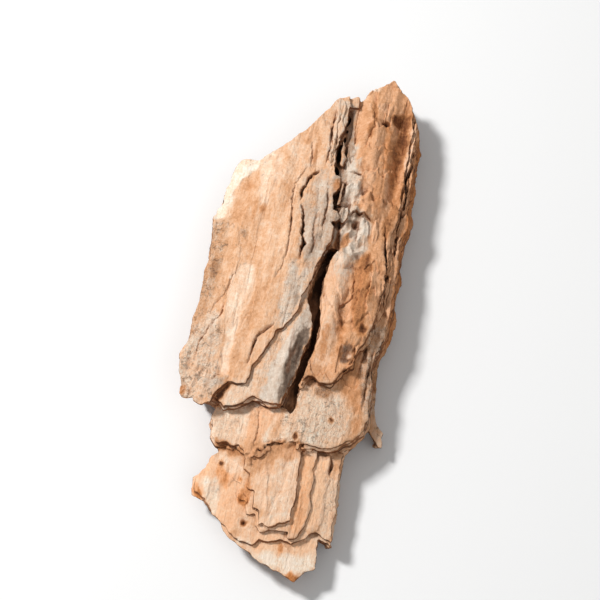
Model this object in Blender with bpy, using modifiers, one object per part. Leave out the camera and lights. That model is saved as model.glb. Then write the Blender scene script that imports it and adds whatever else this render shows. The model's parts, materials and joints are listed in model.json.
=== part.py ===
"""A piece of pine bark, one grown solid, lying on the hollow face that was against the trunk.

Frame: +Y runs along the grain to the pointed end, +X across it, +Z out of the trunk. The origin
is on the ground, below the middle of the bounding box. Blender's units are metres.

The bark is a stack of cork plates. Each plate is an outline in the plane of the slab and a span of
thickness; plates are fused into one body, which is then bent round the trunk and weathered.
"""

from math import cos, exp, tau

import bmesh
import bpy
from mathutils import Vector, noise

# Driving dimensions
MM = 0.001
HALF_LENGTH = 60.0 * MM
HALF_WIDTH = 22.0 * MM
LAYER = 1.4 * MM  # thickness of one year's cork plate
TRUNK_RADIUS = 92.0 * MM  # the slab bends round the trunk by this radius
GRAIN_BOW = 0.9 * MM  # how far the middle of the slab rises above its ends
RIDGE_HEIGHT = 0.55 * MM  # long weathered ridges that run with the grain
HUMP_HEIGHT = 1.3 * MM  # swelling along the middle of the right half
HUMP_X, HUMP_WIDTH = 8.0 * MM, 3.6 * MM
VALLEY_DEPTH = 1.2 * MM  # trough between that swelling and the right rim
VALLEY_X, VALLEY_WIDTH = 13.6 * MM, 2.0 * MM
FLANK_ROUGHNESS = 0.65 * MM  # how far broken edges wander in and out
FLANK_GROOVE = 0.45 * MM  # how far the seams between layers are worn back at the flanks
UNDERSIDE_ROUGHNESS = 0.35 * MM

FUSE_VOXEL = 0.75 * MM
TRIANGLE_BUDGET = 9000

BARK_COLOUR = (0.62, 0.34, 0.19, 1.0)
BARK_ROUGHNESS = 0.9

# Stretches of edge in millimetres, in the order in which a plate's outline takes them, clockwise
# from the lower left.
LEFT_EDGE = [(-14.6, -29.5), (-18, -29), (-21, -28.2), (-22.3, -25), (-22.6, -21), (-23.5, -18),
             (-22.8, -12), (-22.2, -4), (-22.5, 5), (-23.4, 15), (-22.5, 22), (-21.5, 28), (-20, 31)]
SHOULDER = [(-17, 31.2), (-14.5, 33.2), (-11, 36), (-8, 40), (-5, 44.5), (-2.5, 49.5), (0.5, 51.5)]
TIP = [(3.5, 54), (6, 57), (9.5, 60.5), (12.5, 58)]
RIGHT_EDGE = [(15, 53.5), (16.6, 50), (18, 45), (18.6, 38), (18, 32), (19.2, 23), (18.2, 16),
              (18.8, 8), (19.2, 0), (18.2, -8), (17.4, -15), (18.2, -21), (20.3, -28.5),
              (17.8, -26.4), (16.5, -28)]
TONGUE = [(14, -31), (13.4, -36), (14, -45), (14.2, -52.5), (12.6, -51.8), (10.8, -51.4),
          (11.6, -57.5), (8.5, -60.5), (4, -59), (-1, -56.5), (-4, -55), (-9.5, -50),
          (-14.5, -46.5), (-15.4, -43), (-13.2, -39.5), (-11.5, -37), (-13.8, -33)]
STEP_EDGE = [(14, -31), (12.5, -33), (10, -34), (5.5, -34), (2, -34), (-2, -35.6), (-4, -38),
             (-7, -36.2), (-12, -35.6), (-13.8, -34)]
FURROW_LEFT_WALL = [(0.6, 50.5), (1.2, 46), (1.2, 40), (0, 35), (0.6, 30), (1.6, 25), (2.4, 20),
                    (2.4, 15), (1.6, 10), (1, 4), (0.6, -1), (1.6, -4.5), (2.6, -8), (2.2, -12),
                    (1.2, -17), (0.5, -22), (-1, -27)]
FURROW_RIGHT_WALL = [(2, -19.5), (3.2, -12), (3.8, -6), (3, 0), (3.2, 6), (4.2, 12), (4.6, 18),
                     (4, 24), (3, 30), (2.2, 36), (2.8, 42), (2.4, 47), (3, 52)]
FOOT_EDGE = [(-4, -27.2), (-6.5, -26.6), (-8.5, -28), (-11, -29)]
RIGHT_HALF_RIM = [(14.5, 53), (16, 48), (16.8, 40), (16.2, 32), (16.8, 24), (15.8, 16), (15.4, 8),
                  (15.8, 0), (14.5, -6), (13, -10), (12, -13), (11.5, -17), (9.5, -19),
                  (8, -20.5), (5.5, -20)]
TOP_PLATE_RIM = [(-5, 42), (-5, 34), (-5.6, 30), (-7.5, 25), (-7.2, 18), (-6.2, 12), (-6.2, 6),
                 (-5.4, 1), (-0.6, -2.5), (-1.5, -8), (-4.2, -11.5), (-5.5, -15), (-7, -18),
                 (-8, -20), (-8.4, -24), (-12, -24.4), (-14.6, -27.8)]
GREY_PLATE_RIM = [(-0.4, 48), (0.2, 41), (-0.8, 35), (-0.6, 30), (0.4, 25), (1.2, 20), (1.2, 15),
                  (0.5, 10), (0, 4), (-0.4, -3)]
TONGUE_STRIP = [(-14, -33), (13.4, -33), (13.8, -45), (14, -52.2), (12.6, -51.5), (10.8, -51),
                (8.6, -52), (6, -54), (2, -53.5), (-3, -51), (-9, -46), (-12, -41)]
TONGUE_PLATE = [(-6, -33), (5.2, -33), (5.5, -42), (5.3, -49.8), (3.5, -50.8), (0.5, -52.2),
                (-0.8, -46), (-3, -39)]

# Each plate: its lower and upper face, counted in layers from the inner face, and its outline.
PLATES = [
    (0.0, 2.3, LEFT_EDGE + SHOULDER + TIP + RIGHT_EDGE + TONGUE),
    (2.0, 2.9, TONGUE_STRIP),
    (2.0, 3.9, TONGUE_PLATE),
    (2.0, 4.8, LEFT_EDGE + SHOULDER + TIP + RIGHT_EDGE + STEP_EDGE),
    (4.5, 5.8, FURROW_RIGHT_WALL + TIP + RIGHT_HALF_RIM),
    (4.5, 5.9, LEFT_EDGE + SHOULDER + FURROW_LEFT_WALL + FOOT_EDGE),
    (5.6, 6.5, LEFT_EDGE[2:] + SHOULDER[:-1] + GREY_PLATE_RIM + TOP_PLATE_RIM[9:]),
    (6.2, 7.1, LEFT_EDGE[2:] + SHOULDER[:-2] + TOP_PLATE_RIM),
]


def clear_scene():
    """Remove whatever the file opened with."""
    for obj in list(bpy.data.objects):
        bpy.data.objects.remove(obj, do_unlink=True)


def plate_mesh(outline, lower, upper):
    """A flat plate as a mesh: its outline in millimetres, its faces in layers."""
    curve = bpy.data.curves.new("plate", "CURVE")
    curve.dimensions = "2D"
    curve.fill_mode = "BOTH"
    curve.extrude = (upper - lower) * LAYER / 2
    spline = curve.splines.new("POLY")
    spline.points.add(len(outline) - 1)
    for point, (x, y) in zip(spline.points, outline):
        point.co = (x * MM, y * MM, 0.0, 1.0)
    spline.use_cyclic_u = True

    guide = bpy.data.objects.new("plate", curve)
    bpy.context.scene.collection.objects.link(guide)
    guide.location.z = (upper + lower) * LAYER / 2
    bpy.context.view_layer.update()
    graph = bpy.context.evaluated_depsgraph_get()
    mesh = bpy.data.meshes.new_from_object(guide.evaluated_get(graph))
    mesh.transform(guide.matrix_world)
    bpy.data.objects.remove(guide, do_unlink=True)
    return mesh


def stacked_plates():
    """All plates, each a closed shell, in one object named for the part."""
    stack = bmesh.new()
    for lower, upper, outline in PLATES:
        mesh = plate_mesh(outline, lower, upper)
        stack.from_mesh(mesh)
        bpy.data.meshes.remove(mesh)
    bmesh.ops.remove_doubles(stack, verts=stack.verts, dist=0.001 * MM)
    bmesh.ops.recalc_face_normals(stack, faces=stack.faces)
    mesh = bpy.data.meshes.new("bark")
    stack.to_mesh(mesh)
    stack.free()
    bark = bpy.data.objects.new("bark", mesh)
    return bark


def fuse(bark):
    """Make the stack one body and swap it in as the object's mesh."""
    remesh = bark.modifiers.new("fuse", "REMESH")
    remesh.mode = "VOXEL"
    remesh.voxel_size = FUSE_VOXEL
    bpy.context.view_layer.update()
    graph = bpy.context.evaluated_depsgraph_get()
    fused = bpy.data.meshes.new_from_object(bark.evaluated_get(graph))
    bark.modifiers.clear()
    old = bark.data
    bark.data = fused
    bpy.data.meshes.remove(old)


def bell(value, centre, width):
    """1 at the centre, falling smoothly to 0 within about two widths."""
    return exp(-(((value - centre) / width) ** 2))


def weathered(point):
    """Where a point of the flat stack lies on the real slab."""
    x, y, height = point
    depth = height / (7.1 * LAYER)  # 0 on the inner face, 1 on the outermost plate
    grain = Vector((x / (5 * MM), y / (28 * MM), 3.0))
    relief = RIDGE_HEIGHT * noise.noise(grain) * 2 * depth
    if x > 3 * MM and y > -22 * MM:
        relief += HUMP_HEIGHT * bell(x, HUMP_X, HUMP_WIDTH) * depth
        relief -= VALLEY_DEPTH * bell(x, VALLEY_X, VALLEY_WIDTH) * bell(y, 34 * MM, 20 * MM) * depth
    below = noise.noise(Vector((x / (7 * MM), y / (16 * MM), 11.0)))
    relief += UNDERSIDE_ROUGHNESS * 2 * below * (1 - min(depth * 2, 1))

    # broken edges wander more along the trunk's layers than across them
    edge = Vector((x / (6 * MM), y / (6 * MM), height / (1.6 * MM)))
    x_shift = FLANK_ROUGHNESS * noise.noise(edge) * 2
    y_shift = FLANK_ROUGHNESS * noise.noise(edge + Vector((17, 5, 9))) * 2

    seam = 0.5 + 0.5 * cos(tau * height / LAYER)
    x_shift -= FLANK_GROOVE * seam * x / HALF_WIDTH
    y_shift -= FLANK_GROOVE * seam * y / HALF_LENGTH

    bend = x * x / (2 * TRUNK_RADIUS)
    bow = GRAIN_BOW * (y / HALF_LENGTH) ** 2
    return Vector((x + x_shift, y + y_shift, height + relief - bend - bow))


def shape(bark):
    """Bend and weather the fused body, then stand it on the ground over the origin."""
    vertices = bark.data.vertices
    for vertex in vertices:
        vertex.co = weathered(vertex.co)
    low = Vector([min(v.co[axis] for v in vertices) for axis in range(3)])
    high = Vector([max(v.co[axis] for v in vertices) for axis in range(3)])
    middle = (low + high) / 2
    ground = Vector((middle.x, middle.y, low.z))
    for vertex in vertices:
        vertex.co -= ground


def lighten(bark):
    """Keep the triangle count of the finished body near the budget."""
    bark.data.calc_loop_triangles()
    decimate = bark.modifiers.new("lighten", "DECIMATE")
    decimate.ratio = min(1.0, TRIANGLE_BUDGET / len(bark.data.loop_triangles))


def bark_material():
    """Dry, matt, salmon-brown cork."""
    material = bpy.data.materials.new("bark")
    material.use_nodes = True
    shader = material.node_tree.nodes["Principled BSDF"]
    shader.inputs["Base Color"].default_value = BARK_COLOUR
    shader.inputs["Roughness"].default_value = BARK_ROUGHNESS
    shader.inputs["Metallic"].default_value = 0.0
    return material


def main():
    """Build the part in a collection of its own."""
    clear_scene()
    collection = bpy.data.collections.new("piece_of_bark")
    bpy.context.scene.collection.children.link(collection)
    bark = stacked_plates()
    collection.objects.link(bark)
    fuse(bark)
    shape(bark)
    lighten(bark)
    bark.data.materials.append(bark_material())
    bark.data.shade_smooth()


main()
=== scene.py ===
"""The looks of a piece of pine bark, lying on the hollow face that was against the trunk.

The bark is built as it grew: leaves of cork in stepped plates, fused into one body, then bent round
the trunk, lifted and worn. It is shaped in millimetres, on a flat plan where +Y runs with the grain
and z counts up from the inner face, and becomes metres when it takes its place in the frame.
"""

import json
import logging
import math
from dataclasses import dataclass
from enum import Enum

import bpy
import numpy as np
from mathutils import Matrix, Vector
from mathutils.bvhtree import BVHTree

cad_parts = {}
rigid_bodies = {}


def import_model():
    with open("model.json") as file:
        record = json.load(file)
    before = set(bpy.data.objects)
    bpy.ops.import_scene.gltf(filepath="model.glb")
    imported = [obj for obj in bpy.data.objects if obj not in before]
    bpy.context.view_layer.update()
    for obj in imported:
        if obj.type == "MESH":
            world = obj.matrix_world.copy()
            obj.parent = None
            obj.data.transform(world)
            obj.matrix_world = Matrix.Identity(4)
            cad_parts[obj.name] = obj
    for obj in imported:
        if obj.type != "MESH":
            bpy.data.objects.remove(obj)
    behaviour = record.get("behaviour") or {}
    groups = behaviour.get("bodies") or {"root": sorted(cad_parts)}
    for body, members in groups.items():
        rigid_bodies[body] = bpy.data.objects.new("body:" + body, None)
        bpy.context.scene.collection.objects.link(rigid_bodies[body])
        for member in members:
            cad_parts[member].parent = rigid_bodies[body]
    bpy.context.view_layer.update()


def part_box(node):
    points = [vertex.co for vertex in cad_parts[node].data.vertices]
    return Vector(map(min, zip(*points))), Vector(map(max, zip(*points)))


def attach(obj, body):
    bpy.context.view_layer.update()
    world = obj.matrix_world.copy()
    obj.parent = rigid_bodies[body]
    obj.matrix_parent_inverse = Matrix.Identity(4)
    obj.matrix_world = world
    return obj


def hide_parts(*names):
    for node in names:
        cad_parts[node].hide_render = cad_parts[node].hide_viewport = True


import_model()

LOG = logging.getLogger("bark")
MM = 0.001
Point = tuple[float, float]
Colour = tuple[float, float, float]
Ramp = tuple[tuple[float, Colour], ...]
Numbers = np.ndarray


# ---------------------------------------------------------------- measures and noise


def smooth(low: float, high: float, value: Numbers) -> Numbers:
    """0 below low, 1 above high and an easy curve between them."""
    share = np.clip((value - low) / (high - low), 0.0, 1.0)
    return share * share * (3.0 - 2.0 * share)


@dataclass(frozen=True)
class Noise:
    """Gradient noise from about -1 to 1 that is the same on every run.

    Attributes:
        seed: which of the endless fields this one is.
    """

    seed: int

    def at(self, *axes: Numbers) -> Numbers:
        """The field's value.

        Args:
            axes: two or three coordinates, counted in cells of the field.

        Returns:
            One value for each point.
        """
        rng = np.random.default_rng(self.seed)
        arrows = rng.normal(size=(256, len(axes)))
        arrows /= np.linalg.norm(arrows, axis=1)[:, None]
        order = rng.permutation(256)
        cells = [np.floor(axis).astype(np.int64) for axis in axes]
        parts = [axis - cell for axis, cell in zip(axes, cells)]
        eased = [part**3 * (part * (part * 6 - 15) + 10) for part in parts]
        total = np.zeros_like(parts[0])
        for corner in np.ndindex(*(2,) * len(axes)):
            slot = np.zeros_like(cells[0])
            share = np.ones_like(parts[0])
            for step, cell, ease in zip(corner, cells, eased):
                slot = order[(slot + cell + step) & 255]
                share = share * (ease if step else 1 - ease)
            arrow = arrows[slot]
            reach = sum(arrow[:, i] * (parts[i] - corner[i]) for i in range(len(axes)))
            total += share * reach
        return total * 1.5

    def rough(self, octaves: int, *axes: Numbers) -> Numbers:
        """Noise on noise, each octave half the size and a little over half the strength.

        Args:
            octaves: how many fields are added up.
            axes: two or three coordinates, counted in cells of the largest field.

        Returns:
            One value for each point.
        """
        fading = 0.55
        shift = 7.3
        total = 0.0
        strength = 1.0
        for octave in range(octaves):
            finer = [axis * 2.0**octave + shift * octave for axis in axes]
            total = total + strength * Noise(self.seed + octave).at(*finer)
            strength *= fading
        return total


def along(chain: list[Point], spacing: float, closed: bool) -> Numbers:
    """Points at an even spacing along a chain of straight runs.

    Args:
        chain: the corners, in millimetres.
        spacing: the distance from point to point.
        closed: whether the last corner joins the first.

    Returns:
        An array with a row for each point.
    """
    corners = np.array(chain + chain[:1] if closed else chain, float)
    runs = np.linalg.norm(np.diff(corners, axis=0), axis=1)
    walked = np.concatenate([[0.0], np.cumsum(runs)])
    count = max(3, int(round(walked[-1] / spacing)))
    stops = np.linspace(0.0, walked[-1], count, endpoint=not closed)
    return np.stack([np.interp(stops, walked, corners[:, axis]) for axis in range(2)], axis=1)


def beside(chain: list[Point], x: Numbers, y: Numbers) -> tuple[Numbers, Numbers]:
    """Where points lie beside a chain of straight runs.

    Args:
        chain: the corners, in millimetres.
        x: the points' places across the grain.
        y: the points' places along it.

    Returns:
        The distance from the chain, positive on its left hand, and how far along it, from 0 to 1.
    """
    corners = np.array(chain, float)
    runs = np.linalg.norm(np.diff(corners, axis=0), axis=1)
    walked = np.concatenate([[0.0], np.cumsum(runs)]) / runs.sum()
    nearest = np.full(x.shape, np.inf)
    side = np.zeros_like(x)
    share = np.zeros_like(x)
    for i, run in enumerate(runs):
        ahead = (corners[i + 1] - corners[i]) / run
        dx = x - corners[i, 0]
        dy = y - corners[i, 1]
        step = np.clip(dx * ahead[0] + dy * ahead[1], 0, run)
        far = np.hypot(dx - step * ahead[0], dy - step * ahead[1])
        closer = far < nearest
        nearest = np.where(closer, far, nearest)
        side = np.where(closer, np.sign(ahead[0] * dy - ahead[1] * dx), side)
        share = np.where(closer, walked[i] + step / run * (walked[i + 1] - walked[i]), share)
    return nearest * side, share


def inside(outline: list[Point], x: Numbers, y: Numbers) -> Numbers:
    """How far points lie inside a closed outline.

    Args:
        outline: its corners, in millimetres.
        x: the points' places across the grain.
        y: the points' places along it.

    Returns:
        The distance from the outline, negative outside it.
    """
    far = np.abs(beside(outline + outline[:1], x, y)[0])
    within = np.zeros(x.shape, bool)
    for (ax, ay), (bx, by) in zip(outline, outline[1:] + outline[:1]):
        if ay != by:
            within ^= ((ay > y) != (by > y)) & (x < ax + (y - ay) / (by - ay) * (bx - ax))
    return np.where(within, far, -far)


def nearby(chain: list[Point], margin: float, x: Numbers, y: Numbers) -> Numbers:
    """Which points lie in a chain's box or within the margin round it."""
    low, high = np.min(chain, axis=0) - margin, np.max(chain, axis=0) + margin
    return (x > low[0]) & (x < high[0]) & (y > low[1]) & (y < high[1])


def oval(x: float, y: float, across: float, length: float, turn: float = 0.0) -> list[Point]:
    """Eight corners round a middle.

    Args:
        x: the middle's place across the grain.
        y: the middle's place along it.
        across: half the oval's width.
        length: half its length.
        turn: how far its length leans from the grain, in degrees, positive towards +X.

    Returns:
        The corners, in millimetres.
    """
    lean = math.radians(turn)
    corners = []
    for step in range(8):
        angle = math.pi * step / 4
        right, ahead = across * math.cos(angle), length * math.sin(angle)
        corners.append((x + right * math.cos(lean) + ahead * math.sin(lean),
                        y - right * math.sin(lean) + ahead * math.cos(lean)))
    return corners


def moved(chain: list[Point], right: float, ahead: float = 0.0) -> list[Point]:
    """The same chain a little further over."""
    return [(x + right, y + ahead) for x, y in chain]


# ---------------------------------------------------------------- the plan of the plates

# Stretches of edge in millimetres, in the order in which a plate's outline takes them, clockwise
# from the lower left.
CORNER = [(-14.6, -29.2), (-16.4, -29.7), (-18.2, -29.4), (-18.6, -28.3), (-20.6, -28.2),
          (-21.6, -27.4), (-21.8, -24.6), (-22.6, -22.4), (-23, -20.6)]
CORNER_FOOT = [(-13.4, -27.6), (-16, -26.4), (-19, -25.6), (-20.4, -23.4), (-21.2, -20)]
LEFT_EDGE = [(-23.6, -18), (-22.5, -15.5), (-22.6, -10), (-22.2, -3), (-22.6, 5), (-23, 11),
             (-23.6, 15), (-22.4, 18.8), (-22.6, 23), (-21.6, 28), (-20.6, 30.8)]
SHOULDER = [(-18, 31), (-16.4, 31.2), (-14.6, 33.2), (-11, 36.2), (-8, 40), (-5, 44.4), (-3.4, 47.2),
            (-2, 50.2), (0.4, 51.2)]
TIP = [(3, 53.4), (5.4, 57), (7, 57.6), (9.4, 60.5), (12, 58)]
RIGHT_EDGE = [(15, 54.4), (16.6, 50), (17.2, 47), (18.4, 44), (18, 39), (18.4, 33), (18.2, 29),
              (19.2, 24), (19, 21), (18, 18), (18.4, 13), (18.8, 10), (18.3, 5), (19.2, 0),
              (18.7, -6), (17.2, -11), (17, -15), (17.8, -21), (18.6, -24.4), (20.4, -26.4),
              (20.2, -29.4), (18.8, -28.2), (17.2, -26.2), (16.2, -28)]
TONGUE = [(14.4, -31), (13.2, -34), (13.4, -39), (14, -45), (14.3, -49), (14, -52.6), (12.8, -52),
          (11, -51), (11.6, -54), (11.7, -57.4), (9.6, -58.2), (8, -60.5), (5, -59.4),
          (1.2, -58.2), (-1.8, -56.6), (-3.8, -55.2), (-6.2, -53.8), (-9.6, -50.2), (-12.4, -47.6),
          (-14.8, -46.4), (-15.3, -43), (-13.4, -40.6), (-13, -38.4), (-11.4, -37.4), (-13.8, -33)]
STEP_EDGE = [(14.6, -30.4), (13, -31.4), (11.6, -33), (9.8, -33.8), (5.4, -33.7), (2, -34),
             (0.2, -34.2), (-2, -34.9), (-2.7, -36.3), (-3.7, -36.4), (-4.2, -38.2), (-5.1, -37.9),
             (-5.5, -38.6), (-6.2, -36.9), (-6.9, -36.6), (-7.4, -35.8), (-9.4, -36.2), (-10.2, -35.5),
             (-12, -35.9), (-13.4, -34.2), (-13.5, -32.8), (-14.4, -31)]
CRUMBLING_EDGE = STEP_EDGE[4:14]
FURROW_LEFT = [(0.9, 48.4), (0.8, 45), (1.1, 42), (0.3, 39), (-0.1, 36), (0, 32),
               (0.6, 29), (1.4, 26), (1, 23.4), (1.7, 20), (2.2, 17), (1.9, 13.6), (2, 10),
               (1.2, 7), (0.6, 4), (0.2, 0), (0, -2.4), (0.9, -4), (1.8, -6.6), (2.3, -8.6),
               (2, -12), (1.1, -16.4), (0.7, -20), (0, -23), (-0.9, -27)]
FURROW_RIGHT = [(2.4, -22), (3.2, -16.4), (3.9, -12), (4.1, -8.4), (3.7, -5), (3.2, -1), (2.9, 4),
                (3.3, 8), (4.6, 11), (4.2, 16), (3.4, 20), (3.8, 24), (3.2, 28), (2.6, 31.4),
                (2.2, 36), (2.2, 40), (2.3, 43), (2, 46), (1.6, 48.6)]
FURROW_HEAD = [(2.4, 52), (3, 49)]
FOOT_EDGE = [(-2.8, -27.4), (-4.6, -27), (-6.6, -26.4), (-8, -27.6), (-9.8, -28.8), (-12, -29.2)]
RIGHT_PLATE_RIM = [(14, 54), (15.4, 49), (15.8, 44), (15.6, 38), (15.9, 32), (15.5, 27),
                   (16, 22), (15, 17), (15.3, 12), (15.9, 6), (15.6, 0), (14.7, -5), (14, -9),
                   (12.6, -11.4), (12, -13.4), (12, -15.8), (10.4, -17.2), (9.4, -19.2),
                   (8.2, -20.6), (6, -20.5), (5.2, -19.6), (3.4, -19.4)]
STEP_RIM = [(9.4, 58), (14, 54), (16.4, 49), (17.4, 44), (17, 38), (17.4, 32), (17, 27), (18, 22),
            (17, 17), (17.6, 12), (17.8, 6), (17.8, 0), (17.4, -6), (16.2, -11), (16, -15),
            (16.6, -21), (17, -25.6), (16.4, -28)]
CRACK = [(-0.8, -2.6), (-1, -5.4), (-1.7, -8), (-3.2, -10), (-4.7, -11.2), (-5, -13.6),
         (-6.2, -15.4), (-6.7, -17.6), (-7.8, -19.8), (-8.1, -22), (-8.6, -24), (-10.4, -24.4),
         (-12, -24.2), (-13, -26), (-14.4, -28)]


@dataclass
class Plate:
    """One plate of cork, a stack of thin leaves with nearly the same outline.

    Attributes:
        name: what the plate is.
        outline: its corners on the plan.
        foot: height of its lowest leaf's underside.
        top: height of its outer face.
        leaves: how many leaves it splits into at its edges.
        fray: how far an edge wanders off its outline.
        gap: height of the dark gap under a leaf's edge.
        spread: how much further out each leaf ends than the one above it.

    SPACING is the length of an edge's steps, NECK how far a leaf's neck stands back from its edge,
    NARROWEST the least share of the width that a neck keeps, LEAN how far off the middle a neck may
    stand, UNEVEN how much the thickness of the leaves varies, and OVERLAP how far they run into each
    other.
    """

    name: str
    outline: list[Point]
    foot: float
    top: float
    leaves: int
    fray: float = 0.4
    gap: float = 0.3
    spread: float = 0.0
    SPACING = 0.35
    NECK = (0.45, 0.9)
    NARROWEST = 0.4
    LEAN = 0.4
    UNEVEN = 0.3
    OVERLAP = 0.02

    def frayed(self, seed: int, outwards: float) -> Numbers:
        """The outline of one leaf, walked in short steps and pushed about by noise.

        Args:
            seed: the leaf's own number, so no two break alike.
            outwards: how far outside the plate's outline it runs.

        Returns:
            The points of the leaf's edge.
        """
        edge = along(self.outline, self.SPACING, closed=True)
        ahead = np.roll(edge, -1, axis=0) - np.roll(edge, 1, axis=0)
        out = np.stack([-ahead[:, 1], ahead[:, 0]], axis=1)
        out /= np.linalg.norm(out, axis=1)[:, None] + 1e-9
        level = np.full(len(edge), seed * 0.83)
        wander = Noise(seed).at(edge[:, 0] / 4.0, edge[:, 1] / 4.0, level)
        nick = Noise(seed + 40).rough(2, edge[:, 0] / 1.3, edge[:, 1] / 1.3, level)
        return edge + out * (outwards + self.fray * (wander + 0.6 * nick))[:, None]

    def leaf(self, seed: int, low: float, high: float, outwards: float) -> bpy.types.Object:
        """One leaf: a narrow neck below, and a wider sheet of cork above it.

        Args:
            seed: the leaf's own number.
            low: height of the neck's lower end.
            high: height of the sheet's outer face.
            outwards: how far outside the plate's outline it runs.

        Returns:
            The leaf as an object.
        """
        edge = self.frayed(seed, outwards)
        middle = edge.mean(axis=0)
        half = (edge.max(axis=0) - edge.min(axis=0)) / 2
        rng = np.random.default_rng(seed)
        neck = np.maximum(1 - rng.uniform(*self.NECK, 2) / half, self.NARROWEST)
        lean = rng.uniform(-self.LEAN, self.LEAN, 2)
        bpy.ops.object.select_all(action="DESELECT")
        bpy.ops.mesh.primitive_circle_add(vertices=len(edge), fill_type="NGON")
        leaf = bpy.context.object
        for vertex, (x, y) in zip(leaf.data.vertices, edge[::-1]):
            vertex.co = (x, y, low)
        pivot = (middle[0] + lean[0], middle[1] + lean[1], low)
        bpy.ops.object.mode_set(mode="EDIT")
        bpy.ops.mesh.select_all(action="SELECT")
        narrow = (neck[0], neck[1], 1)
        bpy.ops.transform.resize(value=narrow, center_override=pivot)
        bpy.ops.mesh.extrude_region_move(TRANSFORM_OT_translate={"value": (0, 0, self.gap)})
        bpy.ops.mesh.extrude_region_move(TRANSFORM_OT_translate={"value": (0, 0, 0)})
        wide = (1 / neck[0], 1 / neck[1], 1)
        bpy.ops.transform.resize(value=wide, center_override=pivot)
        rise = high - low - self.gap
        bpy.ops.mesh.extrude_region_move(TRANSFORM_OT_translate={"value": (0, 0, rise)})
        bpy.ops.object.mode_set(mode="OBJECT")
        return leaf

    def build(self, seed: int) -> list[bpy.types.Object]:
        """All leaves of the plate, from the inner one out.

        Args:
            seed: the first leaf's number.

        Returns:
            The leaves as objects.
        """
        heights = np.linspace(self.foot, self.top, self.leaves + 1)
        uneven = self.UNEVEN * (self.top - self.foot) / self.leaves
        heights[1:-1] += np.random.default_rng(seed).uniform(-uneven, uneven, self.leaves - 1)
        made = []
        for i in range(self.leaves):
            outwards = self.spread * (self.leaves - 1 - i)
            made.append(self.leaf(seed + i, heights[i] - self.OVERLAP, heights[i + 1], outwards))
        return made


def crumbs(edge: list[Point], spacing: float, seed: int) -> list[Plate]:
    """Small lumps of cork that cling below a broken edge.

    Args:
        edge: the line they cling to.
        spacing: the distance from one to the next.
        seed: chooses their sizes and places.

    Returns:
        A plate for each lump.
    """
    rng = np.random.default_rng(seed)
    found = []
    for number, (x, y) in enumerate(along(edge, spacing, closed=False)):
        across, ahead = rng.uniform(0.4, 0.9, 2)
        lump = oval(x, y + rng.uniform(-0.3, 0.5), across, 0.8 * ahead, rng.uniform(0, 90))
        top = rng.uniform(5.0, 6.1)
        found.append(Plate(f"crumb_{seed}_{number}", lump, 3.4, top, 2, fray=0.3, gap=0.2))
    return found


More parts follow.
